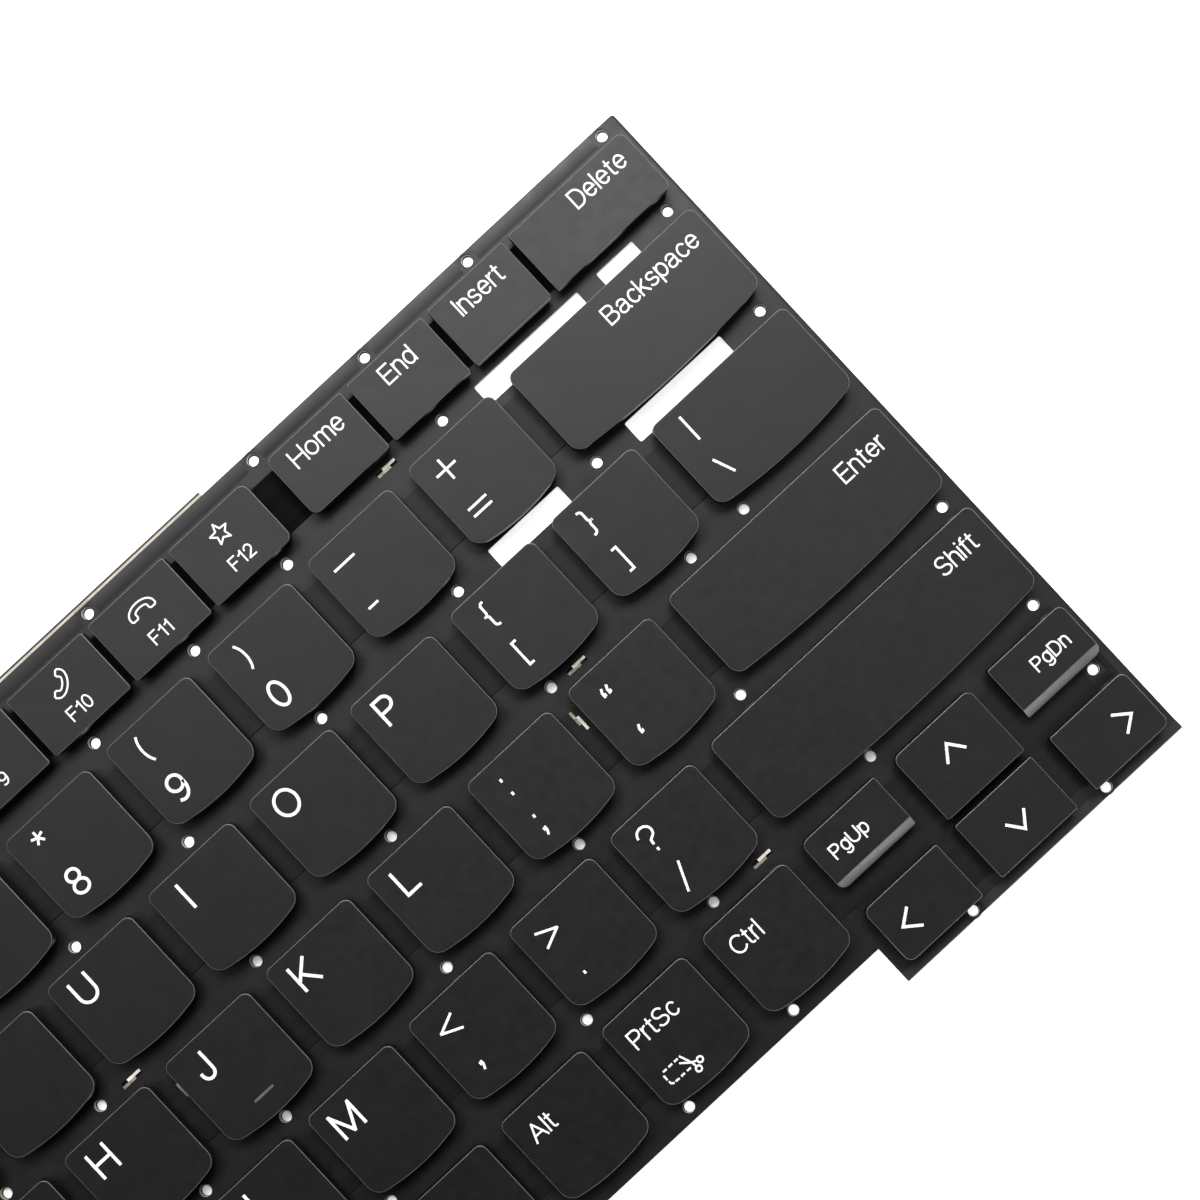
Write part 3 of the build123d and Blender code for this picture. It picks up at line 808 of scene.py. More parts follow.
def corners_of(name):
    """Corner radius at the back left, back right, front right and front left of a cap."""
    if name in letter_keys:
        return BACK_CORNER, BACK_CORNER, FRONT_CORNER, FRONT_CORNER
    rounded = {
        "delete": "right", "home": "left", "f12": "right", "f9": "left", "f8": "right",
        "f5": "left", "f4": "right", "f1": "left", "escape": "left right",
        "page_up": "left", "left": "left", "page_down": "right", "right": "right",
    }.get(name, "")
    left = BACK_CORNER if "left" in rounded else TIGHT_CORNER
    right = BACK_CORNER if "right" in rounded else TIGHT_CORNER
    if name == "up":
        return BACK_CORNER, BACK_CORNER, TIGHT_CORNER, TIGHT_CORNER
    return left, right, right, left


def model_cap(width, depth, height, corners, smile, slope):
    """A cap with its back edge on Y 0, its middle on X 0 and its foot on Z 0."""
    chord = smile - depth
    cap = flat_plate("cap", (-width / 2, chord), (width / 2, 0), 0)
    if smile:
        columns = max(LEAST_COLUMNS, ceil(width / (2 * ARC_STEP)))
        pick(cap, "EDGE", lambda edge: near(*[end.y for end in ends_of(cap, edge)]))
        bpy.ops.mesh.subdivide(number_cuts=columns - 1)
        for column in range(1, columns):
            x = (column / columns - 0.5) * width
            pick(cap, "VERT", lambda vertex: near(vertex.co.x, x) and near(vertex.co.y, chord))
            swell = smile * (1 - (2 * x / width) ** 2)
            bpy.ops.transform.translate(value=(0, -swell, 0))
    if slope:
        brow = chord + CAP_DRAFT + SLOPE_RUN
        edit_all()
        bpy.ops.mesh.bisect(plane_co=(0, brow, 0), plane_no=(0, 1, 0))
    spots = ((-1, 0), (1, 0), (1, chord), (-1, chord))
    for (side, y), radius in zip(spots, corners):
        pick(cap, "VERT", lambda vertex: near(vertex.co.x, side * width / 2)
             and near(vertex.co.y, y))
        bpy.ops.mesh.bevel(offset=radius, segments=6, affect="VERTICES")
    all_faces()
    bpy.ops.mesh.inset(thickness=CAP_DRAFT, depth=height)
    if slope:
        pick(cap, "VERT", lambda vertex: near(vertex.co.z, height)
             and vertex.co.y < brow - 0.02)
        leave_edit()
        for vertex in cap.data.vertices:
            if vertex.select:
                vertex.co.z -= SLOPE_DROP * (brow - vertex.co.y) / SLOPE_RUN
    enter_edit()
    bpy.ops.mesh.select_mode(type="EDGE")
    bpy.ops.mesh.select_all(action="DESELECT")
    bpy.ops.mesh.edges_select_sharp(sharpness=radians(30))
    leave_edit()
    for edge in cap.data.edges:
        edge.select = edge.select and all(near(end.z, height) for end in ends_of(cap, edge))
    cap.data.materials.append(cap_plastic)
    cap.data.materials.append(cap_edge_painted_highlight)
    enter_edit()
    bpy.ops.mesh.bevel(offset=EDGE_ROUND, segments=2, affect="EDGES", material=1)
    pick(cap, "FACE", lambda face: face.normal.z > 0.999 and face.center.z > height / 2)
    front = chord + (CAP_DRAFT + SLOPE_RUN if slope else CAP_DRAFT - smile)
    wide, deep = width - 2 * CAP_DRAFT, -CAP_DRAFT - front
    last, room = 0, min(1, deep / DISH_ROOM)
    for margin, drop in DISH:
        margin *= room
        share_x = (wide - 2 * margin) / (wide - 2 * last)
        share_y = (deep - 2 * margin) / (deep - 2 * last)
        raise_up(-drop)
        bpy.ops.transform.resize(value=(share_x, share_y, 1),
                                 center_override=(0, (front - CAP_DRAFT) / 2, height))
        last = margin
    pick(cap, "FACE", lambda face: face.normal.z > 0.99)
    cap.active_material_index = 0
    bpy.ops.object.material_slot_assign()
    # The sloped front gets the painted reflection grey.
    if slope:
        cap.data.materials.append(cap_slope_painted_reflection)
        pick(cap, "FACE", lambda face: face.normal.z > 0.5 and face.normal.y < -0.4
             and face.area > SLOPE_RUN)
        cap.active_material_index = 2
        bpy.ops.object.material_slot_assign()
    leave_edit()
    apply_modifier(cap, "SOLIDIFY", thickness=CAP_SHELL, offset=-1, use_even_offset=True)
    smooth(cap)
    return cap


cap_models, caps = {}, {}
for name, (low, high) in places.items():
    width, depth = high.x - low.x, high.y - low.y
    slope = name in ("page_up", "page_down")
    kind = (round(width, 2), round(depth, 2), corners_of(name), slope)
    if kind not in cap_models:
        cap_models[kind] = model_cap(width, depth, high.z - low.z, corners_of(name),
                                     SMILE if name in letter_keys else 0, slope)
    caps[name] = copy_to(cap_models[kind], "cap_" + name, (low.x + high.x) / 2, high.y)
    caps[name].location.z = low.z
    bpy.ops.object.transform_apply(location=True, rotation=False, scale=False)
for model in cap_models.values():
    bpy.data.objects.remove(model)


# Legends
# White lettering printed on the caps: a plain sans serif of even strokes, and simple line
# drawings on the function, cursor and print keys. Each mark is a flat ribbon on the cap's face.
LEGEND_WHITES = (0.90, 0.90, 0.90), (0.95, 0.95, 0.95)
PRINT_HEIGHT = 0.015
ABOVE = 1
LETTER_HEIGHT, LETTER_WEIGHT, SIGN_WEIGHT = 4.2, 0.46, 0.36
WORD_HEIGHT, WORD_WEIGHT = 2.8, 0.28
PAGE_HEIGHT, PAGE_WEIGHT = 2.2, 0.26
F_HEIGHT, F_WEIGHT = 2.05, 0.24
ICON_WEIGHT, SNIP_WEIGHT, ARROW_WEIGHT = 0.25, 0.28, 0.42
LETTER_GAP, F_GAP, WORD_SPACE = 0.085, 0.145, 0.3
FIRST_COLUMN, WORD_INDENT = 4.3, 2.3
UPPER_LINE, LOWER_LINE, WORD_LINE, LOW_ROW_DROP = 5.8, 12.8, 5.4, 0.25
ARC_TURN = 12
LEAST_STEP = 0.004
SHARP_TURN = -0.5
CORNER_REACH = 0.6
MIDDLE_WORD_SHIFT, MIDDLE_WORD_LINE = 0.2, 4.1
F_LINE, PAGE_LINE, PAGE_UP_INDENT, PAGE_DOWN_INDENT = 8.57, 5.1, 2.36, 2.42
HOMING_WIDTH, HOMING_DEPTH, HOMING_PLACE = 3.5, 0.4, 2.3
HOMING_SINK, HOMING_HEIGHT, HOMING_EDGE = 0.2, 0.3, 0.08

# Strokes of each sign, where a capital is 1 high. A stroke runs through points (x, y) and arcs
# (middle x, middle y, half width, half height, first angle, last angle).
LETTERS = {
    "A": ([(0, 0), (0.41, 1), (0.82, 0)], [(0.13, 0.33), (0.69, 0.33)]),
    "B": ([(0, 0), (0, 1), (0.36, 1), (0.36, 0.765, 0.25, 0.235, 90, -90), (0, 0.53)],
          [(0.36, 0.53), (0.38, 0.265, 0.30, 0.265, 90, -90), (0, 0)]),
    "C": ([(0.42, 0.5, 0.42, 0.5, 42, 318)],),
    "D": ([(0, 0), (0, 1), (0.30, 1), (0.30, 0.5, 0.40, 0.5, 90, -90), (0, 0)],),
    "E": ([(0.62, 0), (0, 0), (0, 1), (0.62, 1)], [(0, 0.52), (0.57, 0.52)]),
    "F": ([(0, 0), (0, 1), (0.58, 1)], [(0, 0.5), (0.5, 0.5)]),
    "G": ([(0.42, 0.5, 0.42, 0.5, 42, 330)], [(0.48, 0.45), (0.84, 0.45), (0.84, 0.04)]),
    "H": ([(0, 0), (0, 1)], [(0.77, 0), (0.77, 1)], [(0, 0.52), (0.77, 0.52)]),
    "I": ([(0, 0), (0, 1)],),
    "J": ([(0.5, 1), (0.5, 0.27), (0.25, 0.27, 0.25, 0.27, 0, -180), (0, 0.32)],),
    "K": ([(0, 0), (0, 1)], [(0.70, 1), (0, 0.34)], [(0.25, 0.57), (0.75, 0)]),
    "L": ([(0, 1), (0, 0), (0.58, 0)],),
    "M": ([(0, 0), (0, 1)], [(0.03, 0.95), (0.475, 0.02), (0.92, 0.95)], [(0.95, 0), (0.95, 1)]),
    "N": ([(0, 0), (0, 1)], [(0.03, 0.95), (0.74, 0.05)], [(0.77, 0), (0.77, 1)]),
    "O": ([(0.45, 0.5, 0.45, 0.5, 0, 360)],),
    "P": ([(0, 0), (0, 1), (0.36, 1), (0.36, 0.735, 0.28, 0.265, 90, -90), (0, 0.47)],),
    "Q": ([(0.45, 0.5, 0.45, 0.5, 0, 360)], [(0.58, 0.22), (0.86, -0.02)]),
    "R": ([(0, 0), (0, 1), (0.38, 1), (0.38, 0.74, 0.28, 0.26, 90, -90), (0, 0.48)],
          [(0.40, 0.48), (0.68, 0)]),
    "S": ([(0.33, 0.745, 0.30, 0.255, 25, 270), (0.33, 0.245, 0.33, 0.245, 90, -155)],),
    "T": ([(0, 1), (0.76, 1)], [(0.38, 0), (0.38, 1)]),
    "U": ([(0, 1), (0, 0.37), (0.375, 0.37, 0.375, 0.37, 180, 360), (0.75, 1)],),
    "V": ([(0, 1), (0.39, 0), (0.78, 1)],),
    "W": ([(0, 1), (0.29, 0), (0.58, 1), (0.87, 0), (1.16, 1)],),
    "X": ([(0, 0), (0.74, 1)], [(0, 1), (0.74, 0)]),
    "Y": ([(0, 1), (0.40, 0.42), (0.80, 1)], [(0.40, 0.42), (0.40, 0)]),
    "Z": ([(0, 1), (0.68, 1), (0, 0), (0.68, 0)],),
    "a": ([(0.27, 0.51, 0.25, 0.23, 160, 0), (0.52, 0.10), (0.60, 0)],
          [(0.52, 0.44), (0.22, 0.40), (0.20, 0.20, 0.20, 0.20, 95, 270), (0.26, 0),
           (0.26, 0.26, 0.26, 0.26, 270, 350)]),
    "b": ([(0, 0), (0, 1)], [(0.27, 0.37, 0.27, 0.37, 0, 360)]),
    "c": ([(0.28, 0.37, 0.28, 0.37, 42, 318)],),
    "d": ([(0.55, 0), (0.55, 1)], [(0.275, 0.37, 0.275, 0.37, 0, 360)]),
    "e": ([(0, 0.39), (0.56, 0.39), (0.28, 0.37, 0.28, 0.37, 3, 320)],),
    "f": ([(0.11, 0), (0.11, 0.84), (0.27, 0.84, 0.16, 0.16, 180, 100)], [(0, 0.74), (0.27, 0.74)]),
    "g": ([(0.275, 0.37, 0.275, 0.37, 0, 360)],
          [(0.55, 0.74), (0.55, -0.05), (0.275, -0.05, 0.275, 0.25, 0, -150)]),
    "h": ([(0, 0), (0, 1)], [(0, 0.46), (0.26, 0.46, 0.26, 0.28, 180, 0), (0.52, 0)]),
    "i": ([(0, 0), (0, 0.74)], [(0, 0.99), (0, 1)]),
    "k": ([(0, 0), (0, 1)], [(0.47, 0.74), (0, 0.27)], [(0.18, 0.45), (0.51, 0)]),
    "l": ([(0, 0), (0, 1)],),
    "m": ([(0, 0), (0, 0.74)], [(0, 0.50), (0.225, 0.50, 0.225, 0.24, 180, 0), (0.45, 0)],
          [(0.45, 0.50), (0.675, 0.50, 0.225, 0.24, 180, 0), (0.90, 0)]),
    "n": ([(0, 0), (0, 0.74)], [(0, 0.46), (0.26, 0.46, 0.26, 0.28, 180, 0), (0.52, 0)]),
    "o": ([(0.32, 0.37, 0.32, 0.37, 0, 360)],),
    "p": ([(0, -0.28), (0, 0.74)], [(0.275, 0.37, 0.275, 0.37, 0, 360)]),
    "r": ([(0, 0), (0, 0.74)], [(0, 0.44), (0.26, 0.44, 0.26, 0.30, 180, 95)]),
    "s": ([(0.24, 0.555, 0.22, 0.185, 25, 270), (0.24, 0.185, 0.25, 0.185, 90, -155)],),
    "t": ([(0.10, 0.95), (0.10, 0.14), (0.24, 0.14, 0.14, 0.14, 180, 285)],
          [(0, 0.74), (0.26, 0.74)]),
    "0": ([(0.30, 0.5, 0.30, 0.5, 0, 360)],),
    "1": ([(0.30, 0), (0.30, 1), (0.20, 0.82), (0, 0.74)],),
    "2": ([(0.30, 0.70, 0.29, 0.30, 170, -35), (0, 0), (0.60, 0)],),
    "3": ([(0.28, 0.755, 0.27, 0.245, 160, -90), (0.28, 0.255, 0.31, 0.255, 90, -160)],),
    "4": ([(0.47, 0), (0.47, 1), (0, 0.28), (0.64, 0.28)],),
    "5": ([(0.54, 1), (0.12, 1), (0.06, 0.54), (0.29, 0.33, 0.30, 0.33, 140, -160)],),
    "6": ([(0.30, 0.31, 0.30, 0.31, 0, 360)], [(0.36, 0.5, 0.36, 0.5, 65, 185)]),
    "7": ([(0, 1), (0.60, 1), (0.22, 0)],),
    "8": ([(0.30, 0.76, 0.26, 0.24, 0, 360)], [(0.30, 0.26, 0.30, 0.26, 0, 360)]),
    "9": ([(0.30, 0.69, 0.30, 0.31, 0, 360)], [(0.24, 0.5, 0.36, 0.5, -115, 5)]),
    "(": ([(0.34, 0.5, 0.34, 0.64, 128, 232)],),
    ")": ([(-0.20, 0.5, 0.34, 0.64, 52, -52)],),
    "[": ([(0.16, 1), (0, 1), (0, 0), (0.16, 0)],),
    "]": ([(0, 1), (0.16, 1), (0.16, 0), (0, 0)],),
    "{": ([(0.25, 1), (0.25, 0.87, 0.13, 0.13, 90, 180), (0.12, 0.60),
           (0, 0.60, 0.12, 0.10, 0, -90)],
          [(0, 0.40, 0.12, 0.10, 90, 0), (0.12, 0.13), (0.25, 0.13, 0.13, 0.13, 180, 270)]),
    "}": ([(0, 1), (0, 0.87, 0.13, 0.13, 90, 0), (0.13, 0.60), (0.25, 0.60, 0.12, 0.10, 180, 270)],
          [(0.25, 0.40, 0.12, 0.10, 90, 180), (0.13, 0.13), (0, 0.13, 0.13, 0.13, 0, -90)]),
    "*": ([(0.22, 0.78), (0.22, 1)], [(0.22, 0.78), (0.43, 0.85)], [(0.22, 0.78), (0.35, 0.60)],
          [(0.22, 0.78), (0.09, 0.60)], [(0.22, 0.78), (0.01, 0.85)]),
    "+": ([(0, 0.5), (0.82, 0.5)], [(0.41, 0.09), (0.41, 0.91)]),
    "=": ([(0, 0.36), (0.78, 0.36)], [(0, 0.68), (0.78, 0.68)]),
    "_": ([(0, 0.52), (0.89, 0.52)],),
    "-": ([(0, 0.52), (0.37, 0.52)],),
    ":": ([(0, 0.13), (0, 0.17)], [(0, 0.75), (0, 0.79)]),
    ";": ([(0.04, 0.83), (0.04, 0.87)], [(0.06, 0.29), (0.06, 0.18), (0, 0.05)],
          [(0, 0.24), (0, 0.27)]),
    "\"": ([(0.06, 0.70), (0, 0.58), (0, 0.44)], [(0.06, 0.46), (0.06, 0.49)],
           [(0.30, 0.70), (0.24, 0.58), (0.24, 0.44)], [(0.30, 0.46), (0.30, 0.49)]),
    "'": ([(0.06, 0.68), (0, 0.56), (0, 0.42)], [(0.06, 0.44), (0.06, 0.47)]),
    "<": ([(0.74, 0.76), (0, 0.43), (0.74, 0.10)],),
    ">": ([(0, 0.76), (0.74, 0.43), (0, 0.10)],),
    ",": ([(0.06, 0.56), (0.06, 0.44), (0, 0.30)], [(0, 0.51), (0, 0.54)]),
    ".": ([(0, 0.36), (0, 0.40)],),
    "?": ([(0.30, 0.715, 0.30, 0.285, 170, -40), (0.33, 0.42), (0.31, 0.28)],
          [(0.31, 0), (0.31, 0.03)]),
    "/": ([(0, 0), (0.43, 1)],),
    "\\": ([(0, 0.88), (0.30, 0.12)],),
    "|": ([(0, 0), (0, 1)],),
    "!": ([(0, 0.32), (0, 1)], [(0, 0), (0, 0.03)]),
    "@": ([(0.5, 0.45, 0.5, 0.5, -50, 290)], [(0.5, 0.45, 0.2, 0.22, 0, 360)]),
    "#": ([(0.2, 0), (0.32, 1)], [(0.52, 0), (0.64, 1)], [(0, 0.33), (0.8, 0.33)],
          [(0, 0.67), (0.8, 0.67)]),
    "$": ([(0.33, 0.745, 0.30, 0.255, 25, 270), (0.33, 0.245, 0.33, 0.245, 90, -155)],
          [(0.33, -0.1), (0.33, 1.1)]),
    "%": ([(0.18, 0.76, 0.18, 0.24, 0, 360)], [(0.76, 0.24, 0.18, 0.24, 0, 360)],
          [(0.2, 0), (0.74, 1)]),
    "^": ([(0, 0.55), (0.3, 1), (0.6, 0.55)],),
    "&": ([(0.76, 0), (0.19, 0.68), (0.36, 0.78, 0.19, 0.22, 195, -60), (0.14, 0.42),
           (0.3, 0.26, 0.28, 0.26, 130, 290), (0.74, 0.5)],),
    "~": ([(0.14, 0.5, 0.14, 0.12, 180, 0), (0.42, 0.5, 0.14, 0.12, 180, 360)],),
    "`": ([(0, 1), (0.2, 0.8)],),
}

legend_white = drifting("legend_white", 1, LEGEND_WHITES, 0.5, 0.4, 0.5, Specular_IOR_Level=0.4)
cap_top = seven_high.z


def bent(stroke):
    """The points of a stroke, with its arcs in short steps."""
    points = []
    for part in stroke:
        if len(part) == 2:
            points.append(Vector(part))
            continue
        x, y, wide, high, first, last = part
        steps = ceil(abs(last - first) / ARC_TURN)
        for step in range(steps + 1):
            angle = radians(first + (last - first) * step / steps)
            points.append(Vector((x + wide * cos(angle), y + high * sin(angle))))
    kept = points[:1]
    for point in points[1:]:
        if (point - kept[-1]).length > LEAST_STEP:
            kept.append(point)
    return kept


def runs_of(points):
    """The parts of a stroke between its sharp turns, where the line stops and starts again."""
    runs = [points[:1]]
    for before, here, after in zip(points, points[1:], points[2:]):
        runs[-1].append(here)
        if (here - before).normalized().dot((after - here).normalized()) < SHARP_TURN:
            runs.append([here])
    runs[-1].append(points[-1])
    return runs


def ribbon(points, half, first_reach, last_reach):
    """Left and right corners of a line of even width, which reaches past its two ends."""
    if (points[0] - points[-1]).length < LEAST_STEP:
        spine = points[-2:-1] + points + points[1:2]
    else:
        start = (points[0] - points[1]).normalized() * half
        end = (points[-1] - points[-2]).normalized() * half
        first, last = points[0] + start * first_reach, points[-1] + end * last_reach
        spine = [first + start, first, *points[1:-1], last, last + end]
    corners = []
    for before, here, after in zip(spine, spine[1:], spine[2:]):
        arriving, leaving = (here - before).normalized(), (after - here).normalized()
        along = (arriving + leaving).normalized()
        side = Vector((-along.y, along.x))
        reach = half / along.dot(arriving)
        corners += [here + side * reach, here - side * reach]
    return corners


def drawn(strokes, weight, unit, x, y, turn=0):
    """A flat mark over the caps, of strokes on a grid of a unit about a place."""
    corners, faces = [], []
    for stroke in strokes:
        runs = runs_of([point * unit for point in bent(stroke)])
        for run in runs:
            first_reach = 1 if run is runs[0] else CORNER_REACH
            last_reach = 1 if run is runs[-1] else CORNER_REACH
            first = len(corners)
            corners += ribbon(run, weight / 2, first_reach, last_reach)
            faces += [(n, n + 1, n + 3, n + 2) for n in range(first, len(corners) - 2, 2)]
    mesh = bpy.data.meshes.new("mark")
    mesh.from_pydata([(corner.x, corner.y, 0) for corner in corners], [], faces)
    mesh.transform(Matrix.Translation((x, y, cap_top + ABOVE))
                   @ Matrix.Rotation(radians(turn), 4, "Z"))
    mark = bpy.data.objects.new("mark", mesh)
    bpy.context.scene.collection.objects.link(mark)
    return mark


def word(body, x, y, height, weight, anchor="centre", gap=LETTER_GAP):
    """Letters of a capital height, set on a base line from the left, the middle or the right."""
    unit, edge, spots = height - weight, 0, []
    for letter in body:
        spots.append(edge)
        if letter in LETTERS:
            points = [point.x for stroke in LETTERS[letter] for point in bent(stroke)]
            edge += max(points) * unit + weight
        else:
            edge += WORD_SPACE * height
        edge += gap * height
    length = edge - gap * height
    start = x - {"left": 0, "centre": length / 2, "right": length}[anchor]
    return [drawn(LETTERS[letter], weight, unit, start + spot + weight / 2, y + weight / 2)
            for letter, spot in zip(body, spots) if letter in LETTERS]


PAIRS = {
    "grave": "~`", "one": "!1", "two": "@2", "three": "#3", "four": "$4", "five": "%5",
    "six": "^6", "seven": "&7", "eight": "*8", "nine": "(9", "zero": ")0", "minus": "_-",
    "equals": "+=", "left_bracket": "{[", "right_bracket": "}]", "backslash": "|\\",
    "semicolon": ":;", "quote": "\"'", "comma": "<,", "period": ">.", "slash": "?/",
}
WORDS = {
    "tab": "Tab", "caps": "Caps Lock", "left_shift": "Shift", "fn": "Fn", "left_ctrl": "Ctrl",
    "left_alt": "Alt", "right_alt": "Alt", "print": "PrtSc", "right_ctrl": "Ctrl",
}
RIGHT_WORDS = {
    "backspace": ("Backspace", 2.4, 4.85), "enter": ("Enter", 2.6, WORD_LINE),
    "right_shift": ("Shift", 2.6, WORD_LINE), "delete": ("Delete", 2.2, 4.1),
}
MIDDLE_WORDS = {"home": "Home", "end": "End", "insert": "Insert", "escape": "Esc"}
HANDSET = [[
    (0, -0.35, 2.15, 1.30, 180, 0), (2.15, -0.70), (1.95, -0.92), (1.25, -0.92), (1.05, -0.70),
    (0, -0.25, 1.05, 0.40, 0, 180), (-1.05, -0.70), (-1.25, -0.92), (-1.95, -0.92),
    (-2.15, -0.70), (-2.15, -0.35),
]]
STAR = [[(radius * sin(radians(turn)), radius * cos(radians(turn)))
         for turn, radius in zip(range(0, 396, 36), (1.55, 0.70) * 6)]]
ICONS = {
    "f10": (HANDSET, 0.94, 0.3, 3.4, -133), "f11": (HANDSET, 1, 0.1, 3.2, 0),
    "f12": (STAR, 1, 0, 3.1, 0),
}
CHEVRON = [[(-1.6, -1.05), (0, 1.05), (1.6, -1.05)]]
SNIP = [
    [(2.93, -10.15), (3.32, -10.15)], [(3.97, -10.15), (4.36, -10.15)],
    [(5.01, -10.15), (5.40, -10.15)], [(2.50, -10.70), (2.50, -11.25)],
    [(2.53, -11.80), (2.60, -12.10), (2.85, -12.25)], [(3.35, -12.29), (3.74, -12.29)],
    [(4.39, -12.29), (4.78, -12.29)], [(5.49, -12.29), (5.89, -12.29)],
    [(7.40, -12.18), (6.63, -11.88), (5.37, -10.85)], [(7.77, -12.32, 0.42, 0.42, 0, 360)],
    [(6.75, -12.75), (6.63, -11.88), (5.97, -10.15)], [(6.79, -13.15, 0.42, 0.42, 0, 360)],
]


def legend_of(name):
    """The marks of one cap."""
    low, high = places[name]
    left, right, top = low.x, high.x, high.y
    middle = (left + right) / 2
    drop = LOW_ROW_DROP if top < u_low.y else 0
    if name in letter_keys and len(name) == 1:
        return word(name.upper(), left + FIRST_COLUMN, top - UPPER_LINE - drop, LETTER_HEIGHT,
                    LETTER_WEIGHT)
    if name in PAIRS:
        column, anchor = left + FIRST_COLUMN, "centre"
        if name == "minus":
            column, anchor = left + WORD_INDENT, "left"
        marks = []
        for body, line in zip(PAIRS[name], (UPPER_LINE, LOWER_LINE)):
            weight = LETTER_WEIGHT if body.isdigit() else SIGN_WEIGHT
            marks += word(body, column, top - line - drop, LETTER_HEIGHT, weight, anchor)
        return marks
    if name in WORDS:
        marks = word(WORDS[name], left + WORD_INDENT, top - WORD_LINE - drop, WORD_HEIGHT,
                     WORD_WEIGHT, "left")
        if name == "print":
            marks.append(drawn(SNIP, SNIP_WEIGHT, 1, left, top))
        return marks
    if name in RIGHT_WORDS:
        body, indent, line = RIGHT_WORDS[name]
        return word(body, right - indent, top - line, WORD_HEIGHT, WORD_WEIGHT, "right")
    if name in MIDDLE_WORDS:
        return word(MIDDLE_WORDS[name], middle + MIDDLE_WORD_SHIFT, top - MIDDLE_WORD_LINE,
                    WORD_HEIGHT, WORD_WEIGHT)
    if name in function_keys:
        marks = word(name.upper(), middle, top - F_LINE, F_HEIGHT, F_WEIGHT, gap=F_GAP)
        if name in ICONS:
            strokes, unit, shift, line, turn = ICONS[name]
            marks.append(drawn(strokes, ICON_WEIGHT, unit, middle + shift, top - line, turn))
        return marks
    if name == "page_up":
        return word("PgUp", left + PAGE_UP_INDENT, top - PAGE_LINE, PAGE_HEIGHT, PAGE_WEIGHT,
                    "left")
    if name == "page_down":
        return word("PgDn", right - PAGE_DOWN_INDENT, top - PAGE_LINE, PAGE_HEIGHT, PAGE_WEIGHT,
                    "right")
    arrows = {
        "up": (middle - 0.2, 4.55, 0), "down": (middle - 0.15, 5.85, 180),
        "left": (left + 3.8, 5.35, 90), "right": (right - 4.2, 5.2, -90),
    }
    if name in arrows:
        x, line, turn = arrows[name]
        return [drawn(CHEVRON, ARROW_WEIGHT, 1, x, top - line, turn)]
    return []


def homing_bar(name):
    """The raised line that finds the home keys by touch."""
    low, high = places[name]
    x, y = (low.x + high.x) / 2, low.y + SMILE + HOMING_PLACE
    half_x, half_y = HOMING_WIDTH / 2, HOMING_DEPTH / 2
    bar = flat_plate("homing", (x - half_x, y - half_y), (x + half_x, y + half_y),
                     cap_top - HOMING_SINK)
    edit_all()
    raise_up(HOMING_HEIGHT)
    bpy.ops.mesh.inset(thickness=HOMING_EDGE, depth=HOMING_EDGE)
    turn_out()
    leave_edit()
    # The homing bar takes the painted highlight grey of the cap edges.
    bar.data.materials.append(cap_edge_painted_highlight)
    return bar


for name, cap in caps.items():
    marks = legend_of(name)
    parts = [cap]
    if marks:
        legend = joined(marks, "legend")
        dress(legend, legend_white)
        apply_modifier(legend, "SHRINKWRAP", target=cap, wrap_method="PROJECT",
                       use_project_z=True, use_negative_direction=True,
                       use_positive_direction=False, wrap_mode="ABOVE_SURFACE",
                       offset=PRINT_HEIGHT)
        parts.append(legend)
    if name in ("f", "j"):
        parts.append(homing_bar(name))
    cap = joined(parts, "cap_" + name)
    to_metres(cap)
    if name in moving_keys:
        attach(cap, name + "_cap")
        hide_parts("key_" + name)
    else:
        bank = "left_letter_keys"
        if name in function_keys:
            bank = "left_function_keys"
        if near(places[name][1].y, space_high.y):
            bank = "left_bottom_keys"
        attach(cap, "base")
        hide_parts(bank)


# Floor
# A plain white table under the part. It shines evenly to the camera, as paper does under soft
# light, and takes the soft shadow of the part. A patch under the near rows glows less, a painted
# shadow of the keyboard on the table, seen through the holes there.
FLOOR_WHITE = 0.86
FLOOR_SIZE = 20
FLOOR_GLOW, SHADE_GLOW = 0.8, 0.2
FLOOR_DROP, SHADE_DROP = 0.02, 0.01
SHADE_INSET = 6


def white_paper(name, glow_strength):
    """Matte white that also shines to the camera and in mirror rays."""
    finish = new_finish(name, Base_Color=(FLOOR_WHITE, FLOOR_WHITE, FLOOR_WHITE, 1), Roughness=0.9,
                        Specular_IOR_Level=0.1)
    tree = finish.node_tree
    glow = tree.nodes.new("ShaderNodeEmission")
    glow.inputs["Strength"].default_value = glow_strength
    rays = tree.nodes.new("ShaderNodeLightPath")
    both = tree.nodes.new("ShaderNodeAddShader")
    dark = tree.nodes.new("ShaderNodeMixShader")
    seen = rays.outputs["Is Camera Ray"]
    for kind in ("Is Glossy Ray", "Is Transmission Ray"):
        either = tree.nodes.new("ShaderNodeMath")
        either.operation = "MAXIMUM"
        tree.links.new(seen, either.inputs[0])
        tree.links.new(rays.outputs[kind], either.inputs[1])
        seen = either.outputs["Value"]
    tree.links.new(seen, dark.inputs["Fac"])
    tree.links.new(glow.outputs["Emission"], dark.inputs[2])
    tree.links.new(tree.nodes["Principled BSDF"].outputs["BSDF"], both.inputs[0])
    tree.links.new(dark.outputs["Shader"], both.inputs[1])
    tree.links.new(both.outputs["Shader"], tree.nodes["Material Output"].inputs["Surface"])
    return finish


deselect()
bpy.ops.mesh.primitive_plane_add(size=FLOOR_SIZE, location=(0, 0, -FLOOR_DROP * MM))
floor = bpy.context.object
floor.name = "floor"
floor.data.materials.append(white_paper("floor_white", FLOOR_GLOW))
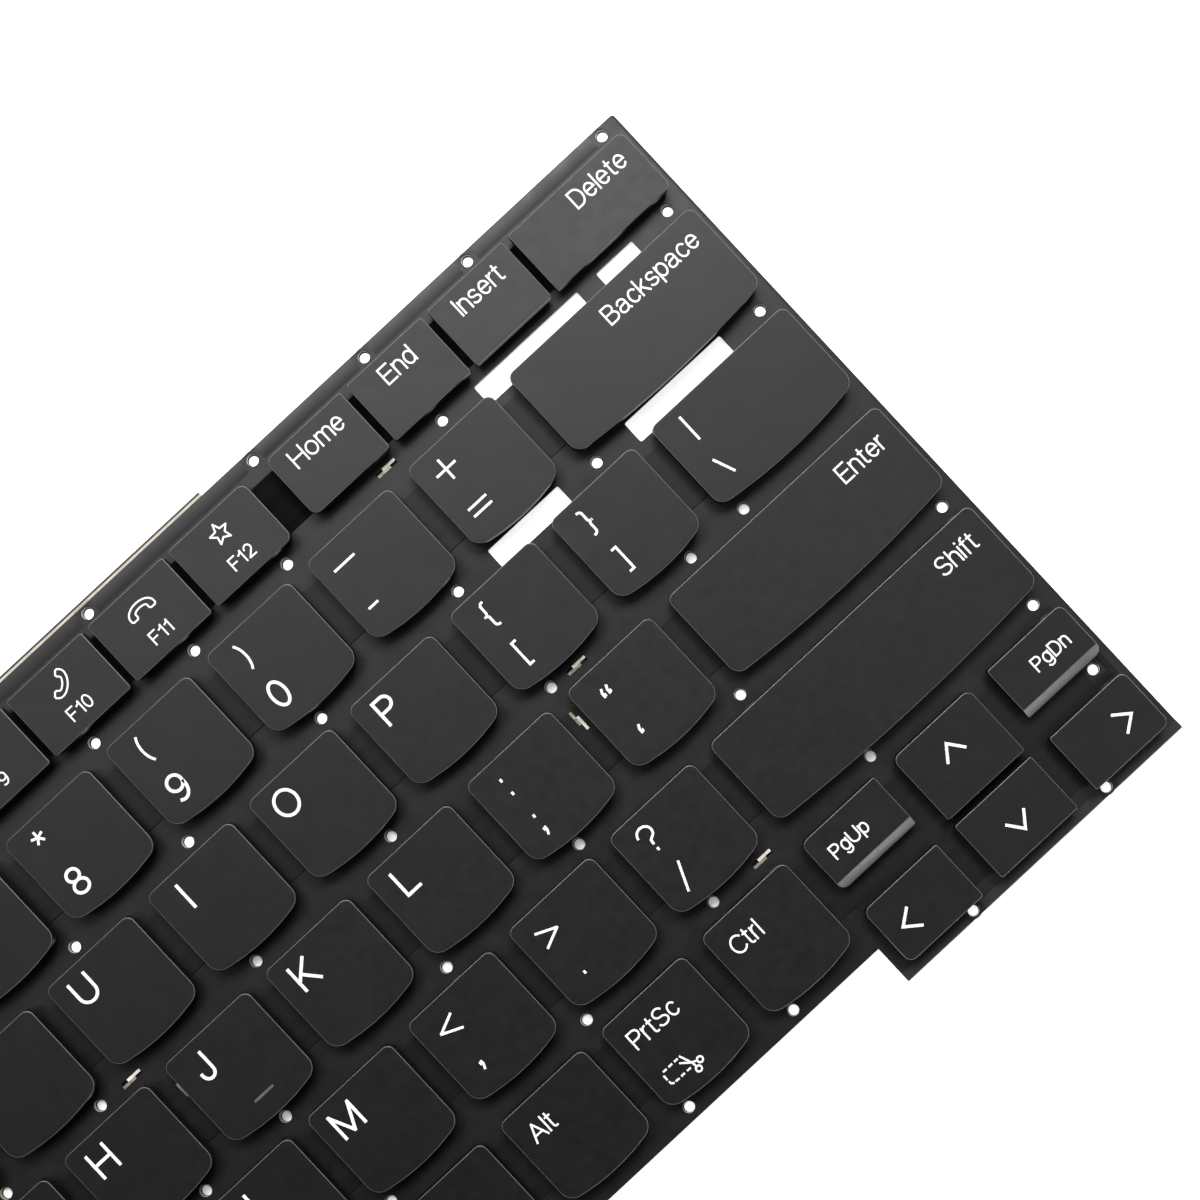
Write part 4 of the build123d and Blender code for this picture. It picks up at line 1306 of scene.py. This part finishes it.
# Painted shadow: this patch of floor under the near rows glows less, as the table in the keyboard's
# shadow.
shade_low = Vector((plate_low.x + SHADE_INSET, front_edge + SHADE_INSET))
shade_high = Vector((plate_high.x - SHADE_INSET, gap_lines[2] + SHADE_INSET))
shade = flat_plate("floor_shade", shade_low, shade_high, -SHADE_DROP)
shade.data.materials.append(white_paper("floor_painted_shadow", SHADE_GLOW))
to_metres(shade)


# Light
# Soft studio light: two softboxes high over the far corner, whose light falls off towards the
# viewer, a weak one at each side, a low one at the front, and a faint even room.
LOOK_AT = Vector((0.0949, 0.00955, cad_box[1].z))
TURN = radians(42.9)
LAMP_REACH, LAMP_SIZE = 0.7, 0.22
ROOM_LIGHT = 0.02


def softbox(name, bearing, lean, power):
    """A square area lamp, clockwise by a bearing from the far side and leaning off overhead."""
    bearing, lean = TURN + radians(bearing), radians(lean)
    towards = Vector((sin(bearing) * sin(lean), cos(bearing) * sin(lean), cos(lean)))
    deselect()
    bpy.ops.object.light_add(type="AREA", location=LOOK_AT + towards * LAMP_REACH)
    lamp = bpy.context.object
    lamp.name = name
    lamp.data.size = LAMP_SIZE
    lamp.data.energy = power
    lamp.rotation_euler = (-towards).to_track_quat("-Z", "Y").to_euler()


softbox("far_softbox", 0, 28, 3.9)
softbox("left_softbox", -45, 28, 2.5)
softbox("side_softbox", -90, 28, 0.5)
softbox("right_softbox", 90, 28, 0.4)
softbox("front_softbox", 135, 75, 1.8)
world = bpy.data.worlds.new("studio")
bpy.context.scene.world = world
world.use_nodes = True
world.node_tree.nodes["Background"].inputs["Color"].default_value = (1, 1, 1, 1)
world.node_tree.nodes["Background"].inputs["Strength"].default_value = ROOM_LIGHT


# Camera
# Straight down on the right-hand half, turned so that the rows climb to the right. It stands close
# over the key tops, so the plate behind them looks a little smaller.
CAMERA_RISE = 0.30
FRAME_WIDTH = 0.1662
SENSOR = 36

deselect()
bpy.ops.object.camera_add(location=LOOK_AT + Vector((0, 0, CAMERA_RISE)), rotation=(0, 0, -TURN))
camera = bpy.context.object
camera.data.sensor_width = SENSOR
camera.data.lens = SENSOR * CAMERA_RISE / FRAME_WIDTH
camera.data.clip_start = 0.01
bpy.context.scene.camera = camera
bpy.context.scene.view_settings.view_transform = "Standard"
